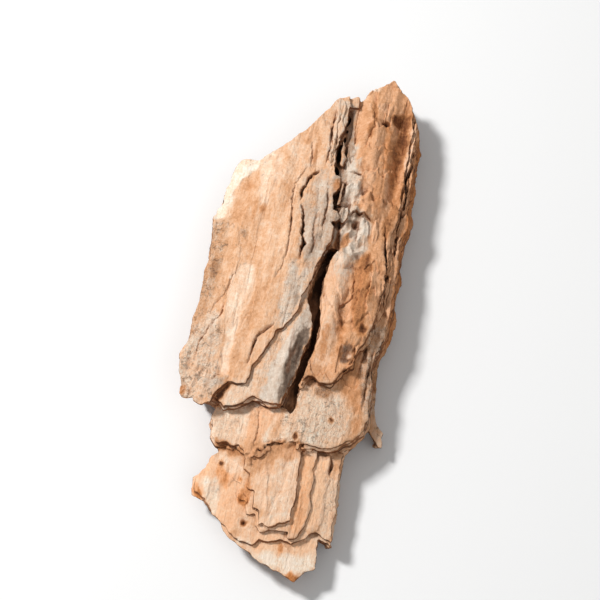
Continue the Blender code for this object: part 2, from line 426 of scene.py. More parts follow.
PLATES = [
    Plate("inner_bark", CORNER_FOOT + LEFT_EDGE + SHOULDER + TIP + RIGHT_EDGE + TONGUE, 0.0, 3.1, 3,
          fray=0.45, spread=-0.55),
    Plate("tongue_strip", [(-12.6, -33), (13.2, -33), (13.2, -38), (13.7, -45), (13.9, -51.6),
                           (12.4, -51.2), (10.6, -50.4), (9, -51.8), (6.4, -53.8), (4.4, -53.2),
                           (2, -54), (0, -53.6), (-1, -55.4), (-3.8, -54.8), (-6.2, -53.4),
                           (-9.4, -50), (-12.4, -47.3), (-14.6, -46.1), (-15, -43), (-13.2, -40.6),
                           (-12.8, -38.4), (-11.6, -37.2)], 3.0, 3.8, 1),
    Plate("tongue_right", [(6, -33), (11.2, -33), (10.8, -37.6), (11.4, -38.6), (11, -43), (11.6, -47),
                           (10.8, -50.2), (9.4, -51), (6, -49)], 3.75, 4.05, 1, fray=0.25, gap=0.15),
    Plate("tongue_leaf", [(-8.2, -33), (8.4, -33), (7.8, -38), (8.5, -40), (8.1, -43), (8.8, -46.4),
                          (8.2, -50), (6.9, -52.4), (5.6, -53), (5.5, -51.6), (2, -51.8),
                          (0, -52.6), (-1.2, -51.4), (-1.6, -49.4), (-3.4, -49.6), (-3.8, -46.8),
                          (-5.8, -46.4), (-5.6, -43.4), (-7.4, -42.6), (-7.2, -39.4), (-8.6, -38.2)],
          3.75, 4.6, 1, fray=0.3, gap=0.1),
    Plate("tongue_plate", [(-8.6, -33), (5, -33), (5.1, -38), (5.4, -42), (5.9, -45), (5.3, -47.4),
                           (5.4, -49.8), (3.4, -50.6), (1.4, -51.9), (0.3, -51.2), (-0.6, -51.6),
                           (-0.9, -48.8), (-2.4, -48.4), (-2.5, -45), (-4.2, -44.4), (-4, -41.4),
                           (-5.8, -40.6), (-5.6, -38), (-8, -36.6)], 4.4, 5.4, 1, fray=0.3, gap=0.15),
    Plate("furrow_bed", [(-6, -29), (-4, 0), (-3, 10), (6, 10), (6, 0), (4, -27)], 3.0, 4.6, 1),
    Plate("furrow_head", [(-3, 9), (-3, 30), (-2, 49), (4, 49), (6, 30), (6, 9)], 3.0, 4.8, 1),
    Plate("furrow_fill", [(2.2, 11), (1.7, 15), (2.4, 19), (1.2, 22), (1.8, 25), (0.9, 28), (1.4, 31),
                          (0.6, 33), (1.1, 36), (0.8, 38.6), (1.5, 40), (1.3, 42.6), (0.7, 44),
                          (1.4, 46), (0.6, 47.4), (0.6, 50), (4, 50), (6, 30), (6, 11)],
          4.4, 7.4, 3, fray=0.4, spread=-0.2),
    Plate("step_left", CORNER_FOOT + LEFT_EDGE + SHOULDER + FURROW_HEAD + FURROW_LEFT
          + [(1.2, -27.6)] + STEP_EDGE[5:], 2.9, 6.1, 4, spread=0.1),
    Plate("step_right", FURROW_RIGHT + STEP_RIM + STEP_EDGE + [(-6, -28), (-1.6, -28.6), (1.6, -27.8)],
          2.9, 6.1, 4, spread=0.2),
    Plate("rim_leaf", [(9, 50)] + moved(RIGHT_PLATE_RIM[1:14], 0.8) + [(9, -8)], 6.0, 6.8, 1, fray=0.3),
    Plate("right_plate", FURROW_RIGHT + [(4.6, 54.4), (7.4, 56.6), (9.6, 58.8)] + RIGHT_PLATE_RIM,
          6.0, 7.7, 2, spread=0.2),
    Plate("wedge_plate", CORNER_FOOT + LEFT_EDGE + SHOULDER + FURROW_HEAD + FURROW_LEFT + FOOT_EDGE,
          6.0, 8.4, 3, spread=0.08),
    Plate("left_plate", LEFT_EDGE + SHOULDER + FURROW_LEFT[:16] + CRACK + CORNER,
          8.3, 9.2, 1, fray=0.4),
    Plate("grey_flake", [(-1.9, 49.6), (-0.9, 50), (0.2, 47.6), (-0.1, 43.6), (0.6, 41.4), (-0.2, 38),
                         (-0.5, 34), (-0.5, 30.8), (-1.4, 33), (-1.3, 38), (-1.8, 42), (-1.4, 45)],
          9.1, 9.6, 1, fray=0.3, gap=0.2),
    Plate("furrow_chip", [(-0.8, 12.4), (0.6, 15.2), (1.7, 17), (2.7, 15), (2.8, 11.6), (1.6, 9.6),
                          (0.2, 10.4)], 5.2, 9.5, 4, fray=0.2),
    Plate("knot_chip", [(0.3, 20), (2.4, 19.6), (3.6, 18), (2.8, 16.9), (1.3, 17.6), (0.3, 18.4)],
          5.2, 9.3, 4, fray=0.25),
    Plate("orange_chip", [(0.2, 28.8), (2, 28.4), (2.5, 25.6), (1.6, 24), (0.4, 24.6), (0.8, 26.4)],
          5.2, 9.4, 4, fray=0.2),
    Plate("light_chip", [(2.3, 27.6), (3.1, 27), (3.1, 21.6), (2.4, 21.2), (2.5, 24.4)],
          5.2, 8.6, 3, fray=0.15),
    Plate("thin_chip", [(0.9, 38.8), (1.9, 37.2), (1.7, 35.6), (2.4, 34.2), (1.9, 31.8), (1.1, 32.6),
                        (1.5, 34.4), (0.8, 36)], 5.2, 8.8, 3, fray=0.35),
    Plate("hook_chip", [(2, 39), (3.6, 37.8), (4, 36.2), (3, 35.4), (3.1, 32.6), (2.3, 33.2), (2.5, 36)],
          5.2, 8.0, 3, fray=0.25),
    Plate("bank_chip", [(3.4, 20.6), (5, 21.4), (5.2, 18.6), (4.2, 17.4), (3, 18.6)],
          5.2, 8.6, 3, fray=0.25),
] + crumbs([(6.4, -34.2), (2, -34.9), (-1.6, -35.8), (-3.4, -37.6), (-5, -38.9)], 1.1, seed=5)


@dataclass(frozen=True)
class Swelling:
    """A soft hump on the outer face, or a dent where its rise is negative.

    Attributes:
        x: its middle across the grain.
        y: its middle along the grain.
        across: its half width.
        along: its half length.
        rise: its height.
        turn: how far its length leans from the grain, in degrees, positive towards +X.
        above: the flat height below which nothing moves.
    """

    x: float
    y: float
    across: float
    along: float
    rise: float
    turn: float = 0.0
    above: float = 2.0

    def lift(self, x: Numbers, y: Numbers, z: Numbers) -> Numbers:
        """How far each point moves up.

        Args:
            x: places across the grain.
            y: places along it.
            z: heights before the slab bends.

        Returns:
            The rise of each point, in millimetres.
        """
        angle = math.radians(self.turn)
        right = (x - self.x) * math.cos(angle) - (y - self.y) * math.sin(angle)
        ahead = (x - self.x) * math.sin(angle) + (y - self.y) * math.cos(angle)
        far = (right / self.across) ** 2 + (ahead / self.along) ** 2
        return self.rise * np.exp(-far) * smooth(self.above, self.above + 1.2, z)


@dataclass(frozen=True)
class Crease:
    """A break in the outermost leaf: the leaf on its left hand stands proud of the one on its right.

    Attributes:
        line: the break's corners on the plan.
        rise: the greatest height of the step.
        reach: how far from the break the raised leaf has sunk back.
        cut: depth of the thin gap at the foot of the step.
        above: the flat height below which nothing moves.
        gap_shade: how dark the painted shade in the gap is, from 0 to 1.
    """

    line: list[Point]
    rise: float
    reach: float
    cut: float = 0.4
    above: float = 3.0
    gap_shade: float = 1.0
    GAP_WIDTH = 0.26

    def gap(self, signed: Numbers, share: Numbers, x: Numbers, y: Numbers) -> Numbers:
        """How deep in the gap each point lies, for the gap opens and closes on its way.

        Args:
            signed: the distance from the line, positive on its left hand.
            share: how far along the line, from 0 to 1.
            x: places across the grain.
            y: places along it.

        Returns:
            From 0 outside the gap to 1 in its middle.
        """
        ends = np.sin(math.pi * np.clip(share, 0, 1)) ** 0.5
        opening = np.clip(0.85 + 0.8 * Noise(70).at(x / 1.7, y / 2.4), 0.25, 1.3)
        return ends * opening * np.exp(-(((signed + 0.1) / (self.GAP_WIDTH * opening)) ** 2))

    def lift(self, x: Numbers, y: Numbers, z: Numbers) -> Numbers:
        """How far each point moves up.

        Args:
            x: places across the grain.
            y: places along it.
            z: heights before the slab bends.

        Returns:
            The rise of each point, in millimetres.
        """
        found = nearby(self.line, 2.2 * self.reach, x, y) & (z > self.above)
        signed, share = beside(self.line, x[found], y[found])
        ends = np.sin(math.pi * np.clip(share, 0, 1)) ** 0.5
        proud = self.rise * smooth(-0.1, 0.1, signed) * np.exp(-((signed / self.reach) ** 2))
        moves = ends * proud - self.cut * self.gap(signed, share, x[found], y[found])
        lifted = np.zeros_like(x)
        lifted[found] = moves * smooth(self.above, self.above + 0.4, z[found])
        return lifted

    def darken(self, x: Numbers, y: Numbers) -> Numbers:
        """How much painted shade the gap lays on each point.

        Args:
            x: places across the grain.
            y: places along it.

        Returns:
            From 0 for no darker to 1 for black.
        """
        found = nearby(self.line, 1.0, x, y)
        dark = np.zeros_like(x)
        signed, share = beside(self.line, x[found], y[found])
        dark[found] = self.gap_shade * self.gap(signed, share, x[found], y[found])
        return dark


CREASES = [
    # the fine break down the left plate, and the dark one beside it
    Crease([(-7.6, 0.4), (-6.6, 3.4), (-6, 7), (-6.2, 12), (-6.6, 16), (-7.3, 20), (-7.5, 25),
            (-6.4, 28), (-5.4, 30.6)], 0.35, 6, cut=0.25, above=8.2, gap_shade=0.6),
    Crease([(-5, 30.2), (-5, 32), (-5.4, 34.6), (-5.8, 37.4)], 0.3, 3, cut=0.25, above=8.2, gap_shade=0.45),
    Crease([(-2.9, 5.6), (-3.3, 8), (-2.9, 10.2), (-3.7, 12), (-3.8, 14.6), (-4.3, 17), (-5.1, 20.2)],
           0.5, 4, cut=0.9, above=8.2),
    Crease([(-5.6, 20.8), (-5.8, 23), (-5.1, 26), (-4.2, 28.4), (-2.6, 29.8)], 0.5, 4,
           cut=0.9, above=8.2),
    # pages of the furrow's left bank
    Crease([(-0.5, 30.6), (-0.8, 34), (-0.5, 38), (-0.9, 42), (-0.5, 48.6)], 0.2, 1,
           cut=0.5, above=8.2, gap_shade=0.7),
    Crease([(-1.9, 31), (-1.6, 36), (-2.1, 41), (-1.9, 47)], 0.3, 1.5, cut=0.4, above=8.2, gap_shade=0.5),
    Crease([(0.8, 11), (0.2, 16), (0.4, 21), (-0.4, 27)], 0.25, 1.5, cut=0.4, above=8.2, gap_shade=0.6),
    Crease([(-1.2, 6), (-0.8, 10), (-1.6, 15), (-1.2, 20)], 0.2, 1.5, cut=0.3, above=8.2, gap_shade=0.4),
    # the strip beside the crack, and the old break at the plate's left
    Crease([(-9, -20), (-8.7, -16), (-8.3, -13.4), (-6.6, -11.4), (-5.2, -9.8)], 0.5, 4,
           cut=0.4, above=8.2, gap_shade=0.7),
    Crease([(-16.4, -5), (-16.6, -9.2), (-17.9, -10.6), (-18.8, -13), (-19.9, -16), (-20, -20)],
           0.45, 5, cut=0.4, above=8.2, gap_shade=0.7),
    Crease([(-19.4, -9.4), (-18.6, -6.6), (-17, -3.4), (-16.3, 0), (-16.6, 3)], 0.2, 3,
           cut=0.2, above=8.2, gap_shade=0.35),
    Crease([(-12.2, -22.6), (-13.6, -22.9), (-14.8, -23.4), (-15.4, -24.6)], 0.3, 2, above=8.2, gap_shade=0.6),
    # leaves that crop out along the right rim
    Crease([(15.9, 0), (15.4, 8), (14.6, 12), (13.6, 17), (13.4, 20)], 0.6, 4, cut=0.5, above=5),
    Crease([(14.3, -10), (15, -4), (15.1, 2), (14.6, 6)], 0.5, 3, cut=0.3, above=5, gap_shade=0.6),
    Crease([(13, -19), (13.6, -12), (14.4, -6)], 0.3, 2, cut=0.3, above=5, gap_shade=0.6),
    Crease([(15.4, -24), (15.2, -17), (15.7, -8)], 0.4, 2, cut=0.4, above=4, gap_shade=0.8),
    Crease([(16.6, 12), (16, 19), (16.2, 24), (16.7, 28), (15.9, 33), (16.8, 37), (16.6, 40),
            (17, 42), (16.2, 46)], 0.5, 2.4, cut=0.6, above=3),
    # waves in the right plate
    Crease([(8.6, -8), (7.2, -4), (7.4, -2.6), (9.3, 0), (9.2, 3.4), (8.6, 7)], 0.35, 2.5,
           cut=0.3, above=6, gap_shade=0.5),
    Crease([(3.3, 31), (5.6, 30.8), (7.4, 30.6)], 0.3, 3, cut=0.3, above=6, gap_shade=0.7),
    Crease([(5, 19.6), (6.6, 20.7), (8.6, 20.8), (10.6, 19.4)], 0.6, 2, cut=0.6, above=6, gap_shade=0.8),
    Crease([(6, 38.6), (6.4, 41.6), (7.2, 44), (6.4, 48.4), (5.4, 51)], 0.25, 2.5, cut=0.3,
           above=6, gap_shade=0.5),
    Crease([(12, 10), (12.8, 5), (12.4, 0), (13, -5)], 0.3, 2, cut=0.25, above=6, gap_shade=0.45),
    Crease([(10.4, 8), (10.8, 2), (10.2, -4), (10.9, -9)], 0.25, 2, cut=0.2, above=6, gap_shade=0.35),
    Crease([(11.9, -11), (12.2, -13), (11.7, -15.8), (10.4, -17.2)], 0.4, 2, cut=0.5, above=6, gap_shade=0.8),
    # the step, and the tongue at its foot
    Crease([(11, -38.4), (11.2, -36), (10.8, -34)], 0.5, 2, cut=0.4, above=2.5, gap_shade=0.8),
    Crease([(-4.6, -37), (-4.4, -32), (-5.2, -27.4)], 0.25, 3, cut=0.2, above=5, gap_shade=0.4),
    Crease([(-0.9, -40.6), (-1.6, -41.4)], 0.2, 1, cut=0.2, above=5, gap_shade=0.5),
]

SWELLINGS = [
    Swelling(7.6, 36, 3, 20, 1.3, above=6),
    Swelling(5.2, -4, 2.4, 12, 0.7, above=6),
    Swelling(11.8, -2, 2.2, 11, 0.8, above=6),
    Swelling(8.4, -2, 1.3, 9, -0.6, turn=4, above=6),
    Swelling(13.8, 37, 1.7, 14, -1.9, turn=-2, above=5),
    Swelling(11.2, 27, 1.8, 5, 0.8, above=6),
    Swelling(9.5, 46, 0.7, 0.8, -1.8, above=6),
    Swelling(12.2, 47.8, 1.3, 1.6, -0.9, above=6),
    Swelling(10.6, -13.2, 1.3, 1.9, -1, above=6),
    Swelling(10.4, -9.4, 1.2, 1.2, 0.5, above=6),
    Swelling(13, -7.2, 0.7, 0.9, -0.6, above=6),
    Swelling(6.8, 17.8, 1, 1.1, -0.8, above=6),
    Swelling(8.8, 17.6, 1.1, 1.6, 0.5, above=6),
    Swelling(8.6, 13, 1.2, 1.6, 0.5, above=6),
    Swelling(5.6, 12.8, 1, 2, -0.7, turn=20, above=6),
    Swelling(5, 28, 1.4, 3, 0.5, above=6),
    Swelling(4.6, 33, 1, 2, 0.4, above=6),
    Swelling(6.4, 8, 2, 2, 0.4, above=6),
    Swelling(3.4, -30, 3, 2.4, 0.3, above=5),
    Swelling(-1.4, -16, 0.9, 9, 0.7, turn=6, above=7),
    Swelling(0.9, -17, 1, 9, -0.9, turn=6, above=7),
    Swelling(-3, 1, 3, 5, 0.3, above=8.2),
    Swelling(-14, -10, 1, 13, -0.2, above=8.2),
    Swelling(-19, -20, 3.2, 8, -0.4, above=8.2),
    Swelling(-15, -26.4, 2.2, 2.2, 0.8, above=8.2),
    Swelling(-12, 26, 4, 9, 0.3, turn=12, above=8.2),
    Swelling(-6.6, -43.4, 3.6, 12, -0.8, turn=-22, above=3.85),
    Swelling(-7.4, -45, 2.4, 8, 0.3, turn=-20, above=2),
    Swelling(-12.4, -43, 2.6, 3, 0.5, above=1.6),
    Swelling(9.9, -27.4, 0.5, 0.6, -0.6, above=5.6),
    Swelling(3.1, -32.5, 0.5, 0.5, -0.5, above=5.6),
    Swelling(-3.4, -51, 0.6, 0.6, -0.8, above=1.6),
    Swelling(-4.8, -46.6, 0.9, 0.8, -0.7, above=1.6),
]


# ---------------------------------------------------------------- where each colour lies


class StainAndShade(Enum):
    """What the material can find painted on the bark, stains and painted shade and highlight, by the name
    of its attribute.
    """

    TONE = "tone"
    GREY = "grey"
    GRIT = "grit"
    ORANGE = "orange"
    SCALE = "scale"
    CRACK = "crack"
    # painted shade in the gaps, the cracks and the furrow
    CREVICE = "crevice"
    FLANK = "flank"
    INNER = "inner"
    RIM = "rim"


@dataclass(frozen=True)
class Patch:
    """An area of the outer face, laid like paint over those before it.

    Attributes:
        outline: its corners on the plan.
        tone: how light it is, from 0 for dark brown to 1 for pale cream.
        grey: how weathered it is, from 0 to 1.
        grit: how granular and specked it is, from 0 to 1.
        orange: how orange it is, from 0 to 1.
        blur: how far its border fades.
        lift: how far it stands proud.
    """

    outline: list[Point]
    tone: float | None = None
    grey: float | None = None
    grit: float | None = None
    orange: float | None = None
    blur: float = 0.5
    lift: float = 0.0

    def cover(self, x: Numbers, y: Numbers, fray: Numbers, blur: float) -> Numbers:
        """How much of each point the patch covers.

        Args:
            x: places across the grain.
            y: places along it.
            fray: noise that breaks up the border.
            blur: how far the border fades.

        Returns:
            From 0 outside to 1 inside.
        """
        wander = 0.3 + 0.7 * self.blur
        found = nearby(self.outline, blur + 2 * wander, x, y)
        depth = inside(self.outline, x[found], y[found]) + wander * fray[found]
        cover = np.zeros_like(x)
        cover[found] = smooth(-blur, blur, depth)
        return cover


PATCHES = [
    # the right plate and its rim
    Patch([(3, 49), (6, 57), (10, 60), (14, 57), (19, 50), (20, 30), (20, 0), (18, -14), (13, -20),
           (3, -20), (3, 0), (4, 10), (3, 30)], tone=0.59, orange=0.4, blur=0.7),
    Patch([(4.6, 54), (7, 58), (9, 60.5), (12, 58.6), (12, 53), (8, 50.6), (4.6, 50.4)], tone=0.6),
    Patch(oval(5.6, 56, 1, 1.4), tone=0.92),
    Patch([(4.6, 51), (10, 51), (9.6, 49.2), (5.4, 49)], tone=0.72, blur=0.6),
    Patch(oval(8.6, 40, 1, 8), tone=0.6, blur=0.8),
    Patch([(5.7, 52), (6.6, 51), (7.3, 46), (6.8, 41), (5.9, 42), (6.4, 46)], tone=0.36, blur=0.4),
    Patch([(9.8, 45), (11.6, 44), (12, 34), (10.4, 33)], tone=0.58, orange=0.8, blur=0.9),
    Patch(oval(10.8, 28, 1.8, 5), tone=0.52, orange=0.5, blur=0.8),
    Patch(oval(8, 29, 1.2, 2.4), tone=0.62, grey=0.2, blur=0.6),
    # painted shade down the valley on the far side of the hump
    Patch([(13.4, 52), (14.8, 50), (15, 42), (14.6, 34), (15, 26), (14.4, 21), (13.8, 26),
           (12.6, 31), (12.2, 38), (12.6, 45)], tone=0.3, orange=0.45, blur=1.0),
    Patch([(15.4, 50), (16.8, 47), (16.6, 42), (16.9, 38), (16, 34), (15.2, 36), (15.2, 44)],
          tone=0.76, grey=0.25, blur=0.3),
    Patch([(15.4, 32), (16.6, 30), (15.8, 24), (15.4, 18), (14.4, 20), (14.8, 27)],
          tone=0.36, grey=0.1, blur=0.4),
    Patch([(17, 49), (19, 44), (20, 24), (20, -12), (17.9, -10), (17.6, 0), (17.6, 20), (17.2, 34)],
          tone=0.5, orange=0.75, blur=0.4),
    # painted shade deepest in that valley
    Patch(oval(14.1, 44, 0.9, 6), tone=0.2, orange=0.4, blur=0.9),
    Patch(oval(9.5, 46, 0.8, 0.9), tone=0.05, blur=0.3),
    Patch(oval(12, 48, 1.2, 1.6), tone=0.2, blur=0.5),
    # the grey bank beside the furrow
    Patch([(2, 40), (4.4, 38.4), (5, 33), (6.6, 29), (6.6, 22), (9.6, 20.8), (10.4, 17), (9.8, 12),
           (8.8, 8.6), (6, 9), (3.6, 11), (3, 20), (2.4, 28)], tone=0.8, grey=0.78, grit=0.3, orange=0.0,
          blur=1.1),
    Patch(oval(4.8, 25.6, 1, 3), tone=0.82, blur=0.4),
    Patch([(4, 10), (7.6, 9.8), (8.4, 6), (6.4, 3), (4, 4)], tone=0.8, grey=0.5, blur=0.8),
    # painted shadow under the raised arc
    Patch([(5.2, 19.4), (7, 20.9), (9, 21), (10.8, 19.2), (8.6, 19.8)], tone=0.34, blur=0.3),
    Patch(oval(6.3, 17.6, 1.1, 1), tone=0.42, blur=0.4),
    Patch(oval(9.2, 16.6, 1, 1.6), tone=0.84, grey=0.7, blur=0.4),
    Patch(oval(5.5, 12.8, 1.2, 2.2, 16), tone=0.46, grey=0.1, orange=0.3, blur=0.35),
    Patch(oval(3.8, 13, 0.8, 3), tone=0.12, blur=0.4),
    # the right plate's lower half
    Patch([(3.4, 4), (7.6, 4), (7, -4), (8, -10), (7.6, -16), (4, -18), (3.6, -8), (3.4, -2)],
          tone=0.76, grey=0.2, blur=0.9),
    Patch(oval(5.4, -12, 0.7, 4), tone=0.5, orange=0.5, blur=0.6),
    Patch([(8.6, 10), (11, 11), (12.8, 4), (12.6, -4), (13.6, -9), (11, -8), (9.6, -2), (9, 4)],
          tone=0.36, orange=0.5, blur=0.9),
    Patch(oval(8.6, -9, 0.8, 5, -8), tone=0.42, orange=0.5, blur=0.7),
    Patch(oval(11.2, 8.6, 1.2, 2.2), tone=0.2, blur=0.7),
    Patch(oval(14.1, 20, 0.9, 4), tone=0.32, orange=0.4, blur=0.8),
    Patch([(12.2, 17), (13.4, 16), (14.6, 10), (15.4, 5), (15.2, -1), (14.2, -3), (14.2, 4),
           (13.2, 10)], tone=0.56, orange=0.4, blur=0.35),
    Patch([(8.6, -12), (10, -10.4), (12, -12), (11.8, -14.8), (9.6, -15.2)], tone=0.24, grey=0.55),
    Patch(oval(11.2, -13.2, 0.5, 1), tone=0.7, grey=0.5, blur=0.25),
    Patch(oval(13, -7.2, 0.8, 1), tone=0.12, grey=0.2, blur=0.3),
    Patch(oval(10, -9.4, 1.2, 0.9), tone=0.56, orange=0.4, blur=0.4),
    Patch([(3.2, -16), (5.6, -17), (8, -18.4), (8.4, -20.6), (6, -20.6), (3.4, -19.4)],
          tone=0.56, grey=0.3, blur=0.5),
    Patch([(14.2, -6), (17.4, -4), (18, -14), (18.6, -22), (16, -25), (14, -20), (13.6, -12)],
          tone=0.6, grey=0.4, grit=0.8, orange=0.1, blur=0.7),
    Patch([(16.4, -24), (18.4, -24), (20.8, -27), (20.4, -30), (17.6, -27)], tone=0.68, grit=0.4),
    # the furrow's own flakes
    Patch([(-0.4, 50), (2.4, 49), (3.4, 38), (3, 30), (3.8, 24), (3.8, 18), (3.4, 8), (1, 8),
           (0.6, 18), (0.2, 30), (0.2, 40)], tone=0.56, grey=0.7, grit=0.5, orange=0.0, blur=0.4),
    Patch(oval(1.5, 26.2, 0.7, 1.5), tone=0.46, grey=0.3, orange=0.6, blur=0.6),
    Patch(oval(1.3, 34, 0.5, 3), tone=0.62, grey=0.2, orange=0.3, blur=0.3),
    # the left plate
    Patch([(-23.8, 15), (-20.8, 15), (-19.6, 8), (-19.2, 0), (-18.8, -6), (-20.6, -12), (-24, -18),
           (-24, -6)], tone=0.57, grey=0.25, grit=1.0, blur=0.9),
    Patch([(-19.6, 21), (-16.4, 20), (-15.8, 10), (-17, 2), (-17.4, -9), (-19.4, -9), (-19.6, 6)],
          tone=0.53, blur=1.5),
    Patch([(-21.9, 25.4), (-20, 25.4), (-20.4, 20), (-20.8, 15), (-24, 14), (-23.6, 20)],
          tone=0.96, grey=0.2, blur=0.5),
    Patch([(-22.4, 31.6), (-14.6, 32.4), (-15.4, 29.8), (-17.2, 27.6), (-19.4, 25.4), (-20.4, 21.8),
           (-21.6, 18.4), (-23.4, 18)], tone=0.93, grey=0.08, blur=0.35, lift=0.12),
    Patch([(-16, 33), (-12.4, 35), (-11.4, 31), (-10.4, 27), (-11.2, 23), (-12.8, 19.6),
           (-14.4, 19.6), (-15, 24), (-16.4, 28.6)], tone=0.76, blur=0.45, lift=-0.08),
    Patch([(-15.2, 32), (-13.8, 32.6), (-13, 28), (-13.4, 23), (-14.6, 26)], tone=0.84, blur=0.5),
    Patch([(-19.4, 24.8), (-17, 26), (-16.2, 23.6), (-18.8, 22.6)], tone=0.54, orange=0.45, blur=0.8),
    Patch(oval(-17.4, 20.6, 1.6, 1.6), tone=0.56, orange=0.2, blur=0.8),
    Patch(oval(-14.9, 17.4, 0.6, 3.4), tone=0.5, orange=0.35, blur=0.4),
    Patch(oval(-13.4, 17.6, 0.6, 0.9), tone=0.42, orange=0.4, blur=0.6),
    Patch(oval(-16.4, 11.4, 1, 0.9), tone=0.46, grey=0.4, grit=1.0, blur=0.9),
    Patch(oval(-20.6, 2, 1, 3), tone=0.36, grey=0.4, grit=1.0, blur=0.7),
    Patch([(-12, 14), (-8.4, 16), (-7, 8), (-8.4, 1.4), (-10.4, 1), (-11.4, 6)], tone=0.67, blur=1.2),
    Patch([(-12, 38), (-9, 40), (-7, 36), (-7.6, 28), (-9.6, 26), (-10, 32)], tone=0.72, blur=0.9),
    Patch(oval(-6.8, 37, 0.8, 1), tone=0.5, orange=0.3, blur=0.4),
    Patch([(-4.8, 44), (-2.6, 48), (-2, 38), (-1.8, 31), (-4.8, 30.6), (-5, 37)],
          tone=0.62, grey=0.15, blur=0.4),
    Patch(oval(-4.4, 35, 0.5, 4), tone=0.46, blur=0.4),
    Patch([(-5.4, 20), (-2.6, 30.4), (-0.4, 30), (0.8, 24), (2, 16), (1.8, 9), (-0.4, 4.4), (-3, 5.6),
           (-3.4, 9), (-4, 14)], tone=0.66, grey=0.68, grit=0.3, blur=0.7),
    Patch(oval(-0.6, 10, 0.8, 4, 8), tone=0.5, grey=0.8, blur=0.7),
    Patch(oval(-2.6, 14, 0.6, 5), tone=0.76, grey=0.6, blur=0.6),
    Patch(oval(0.4, 20, 0.7, 5, -6), tone=0.52, grey=0.8, blur=0.6),
    Patch(oval(-1.6, 26, 0.7, 3), tone=0.74, grey=0.5, blur=0.6),
    Patch(oval(-3.6, 22.6, 1.1, 3.4), tone=0.68, grey=0.35, blur=1.0),
    Patch([(-5.6, 1.6), (-4, 4.6), (-2.4, 3.2), (-0.8, 7), (0.4, 0), (-0.8, -4), (-2, -8),
           (-4.2, -11), (-5, -8), (-5.2, -2)],
          tone=0.74, grey=0.72, grit=0.6, blur=1.6),
    Patch(oval(-1.8, -3, 0.7, 3.4, -20), tone=0.52, grey=0.9, blur=0.7),
    Patch(oval(-4.2, -4, 0.7, 3), tone=0.84, grey=0.5, blur=0.6),
    Patch([(-2.2, 50.4), (0.8, 49.6), (1.4, 42), (0.4, 34), (-0.4, 30), (-1.8, 31.6), (-2.2, 40)],
          tone=0.74, grey=0.45, blur=0.4),
    Patch([(-16.4, 1.2), (-15.3, 3.4), (-13.4, 4.4), (-12.2, 3.1), (-11.3, 0.8), (-10.8, -1), (-11.3, -5),
           (-12.3, -9), (-12.8, -14), (-12.7, -19), (-12.3, -23), (-14, -23.4), (-14.7, -18),
           (-15, -13), (-15.9, -9), (-16.5, -5), (-16.7, 0)], tone=0.79, grit=0.0, blur=0.3, lift=-0.14),
    Patch([(-15.6, 2.6), (-13.6, 3.4), (-12, 1), (-12.4, -4), (-13.6, -8), (-14.6, -5)],
          tone=0.8, blur=0.6),
    Patch([(-10.6, 0), (-5.6, -1), (-5.2, -6), (-6.6, -10), (-8.4, -13), (-9, -18), (-9.2, -23.8),
           (-12, -23.4), (-12.5, -17), (-12, -9), (-11, -4)], tone=0.6, orange=0.15, blur=0.35),
    Patch([(-10.4, -1), (-8, -1.6), (-8.4, -9), (-10.4, -10), (-11, -6)], tone=0.55, orange=0.2, blur=0.9),
    Patch([(-18.6, -1), (-17, -2), (-17.2, -6), (-19, -9), (-19.6, -5)], tone=0.62, grit=0.6, blur=0.9),
    Patch([(-20, -9), (-17, -9), (-15.4, -14), (-14.8, -22), (-13.4, -23.6), (-14.6, -29),
           (-22, -29), (-24, -18), (-21, -12)], tone=0.74, grey=0.3, grit=1.0, blur=1.0),
    Patch([(-16.6, -23.6), (-12.6, -23.4), (-12.4, -25), (-15, -26.6), (-17, -25.6)],
          tone=0.66, grey=0.65, blur=0.5),
    Patch(oval(-21, -27, 1, 1.2), tone=0.5, orange=0.7, blur=0.5),
    # painted shadow under the lifted corner flake
    Patch([(-12.2, -23.9), (-12.9, -25.6), (-14.4, -28), (-13, -28.8), (-11.8, -26.4), (-11.6, -24.6)],
          tone=0.1, grey=0.2, orange=0.0, blur=0.3),
    # the wedge between the crack and the furrow
    Patch([(-0.8, -2.6), (-2, -8), (-5, -11.6), (-8, -21), (-10, -24.6), (-13.6, -29), (-7, -28),
           (-4.6, -26.6), (-4, -20), (-2, -11)], tone=0.7, grey=0.3, grit=0.3, blur=0.4),
    Patch([(0.6, -2.6), (2.6, -8), (1.6, -13), (0.8, -20), (-0.8, -27.6), (-5.2, -27), (-4.6, -22),
           (-3.2, -15), (-1.4, -8)], tone=0.76, grey=0.9, grit=0.0, orange=0.0, blur=0.5),
    # painted shade on the wedge's right slope, which falls away from the light
    Patch([(0.5, -9), (2.2, -9), (1.6, -15), (0.8, -21), (-0.8, -27.6), (-1.6, -26), (-1.4, -20),
           (-0.7, -14)], tone=0.3, grey=1.0, blur=0.3),
    Patch([(-12.4, -29.4), (-8, -28), (-6, -26.4), (-6, -22), (-8, -21), (-9, -24), (-12, -26)],
          tone=0.7, grey=0.1, blur=0.4),
    # the step under them
    Patch([(-14.6, -29), (-8, -27.4), (-3, -26.6), (-0.6, -28), (-2, -36), (-6, -39), (-14.6, -35)],
          tone=0.78, blur=0.4),
    Patch([(-7.6, -26.4), (-2, -27), (-2.4, -33), (-4, -38.6), (-6.4, -38), (-6.6, -31)],
          tone=0.76, orange=0.6, blur=0.9),
    Patch([(-13.8, -30.6), (-8.6, -30), (-7.4, -35.6), (-12.4, -36)],
          tone=0.82, grit=0.6, grey=0.0, orange=0.25, blur=1.2),
    Patch([(1, -21), (4, -20), (4.6, -24), (2, -30), (-1.6, -33), (0.2, -25)], tone=0.46, orange=0.4,
          blur=1.2),
    Patch([(9.4, -19.4), (12.4, -13), (14, -18), (16.2, -26), (14.4, -31), (12.6, -25), (10, -22)],
          tone=0.5, orange=0.45, blur=0.6),
    Patch([(3.6, -21), (9, -21.4), (11.6, -22.6), (13.6, -25), (13, -29), (10.4, -33.6), (4, -34.4),
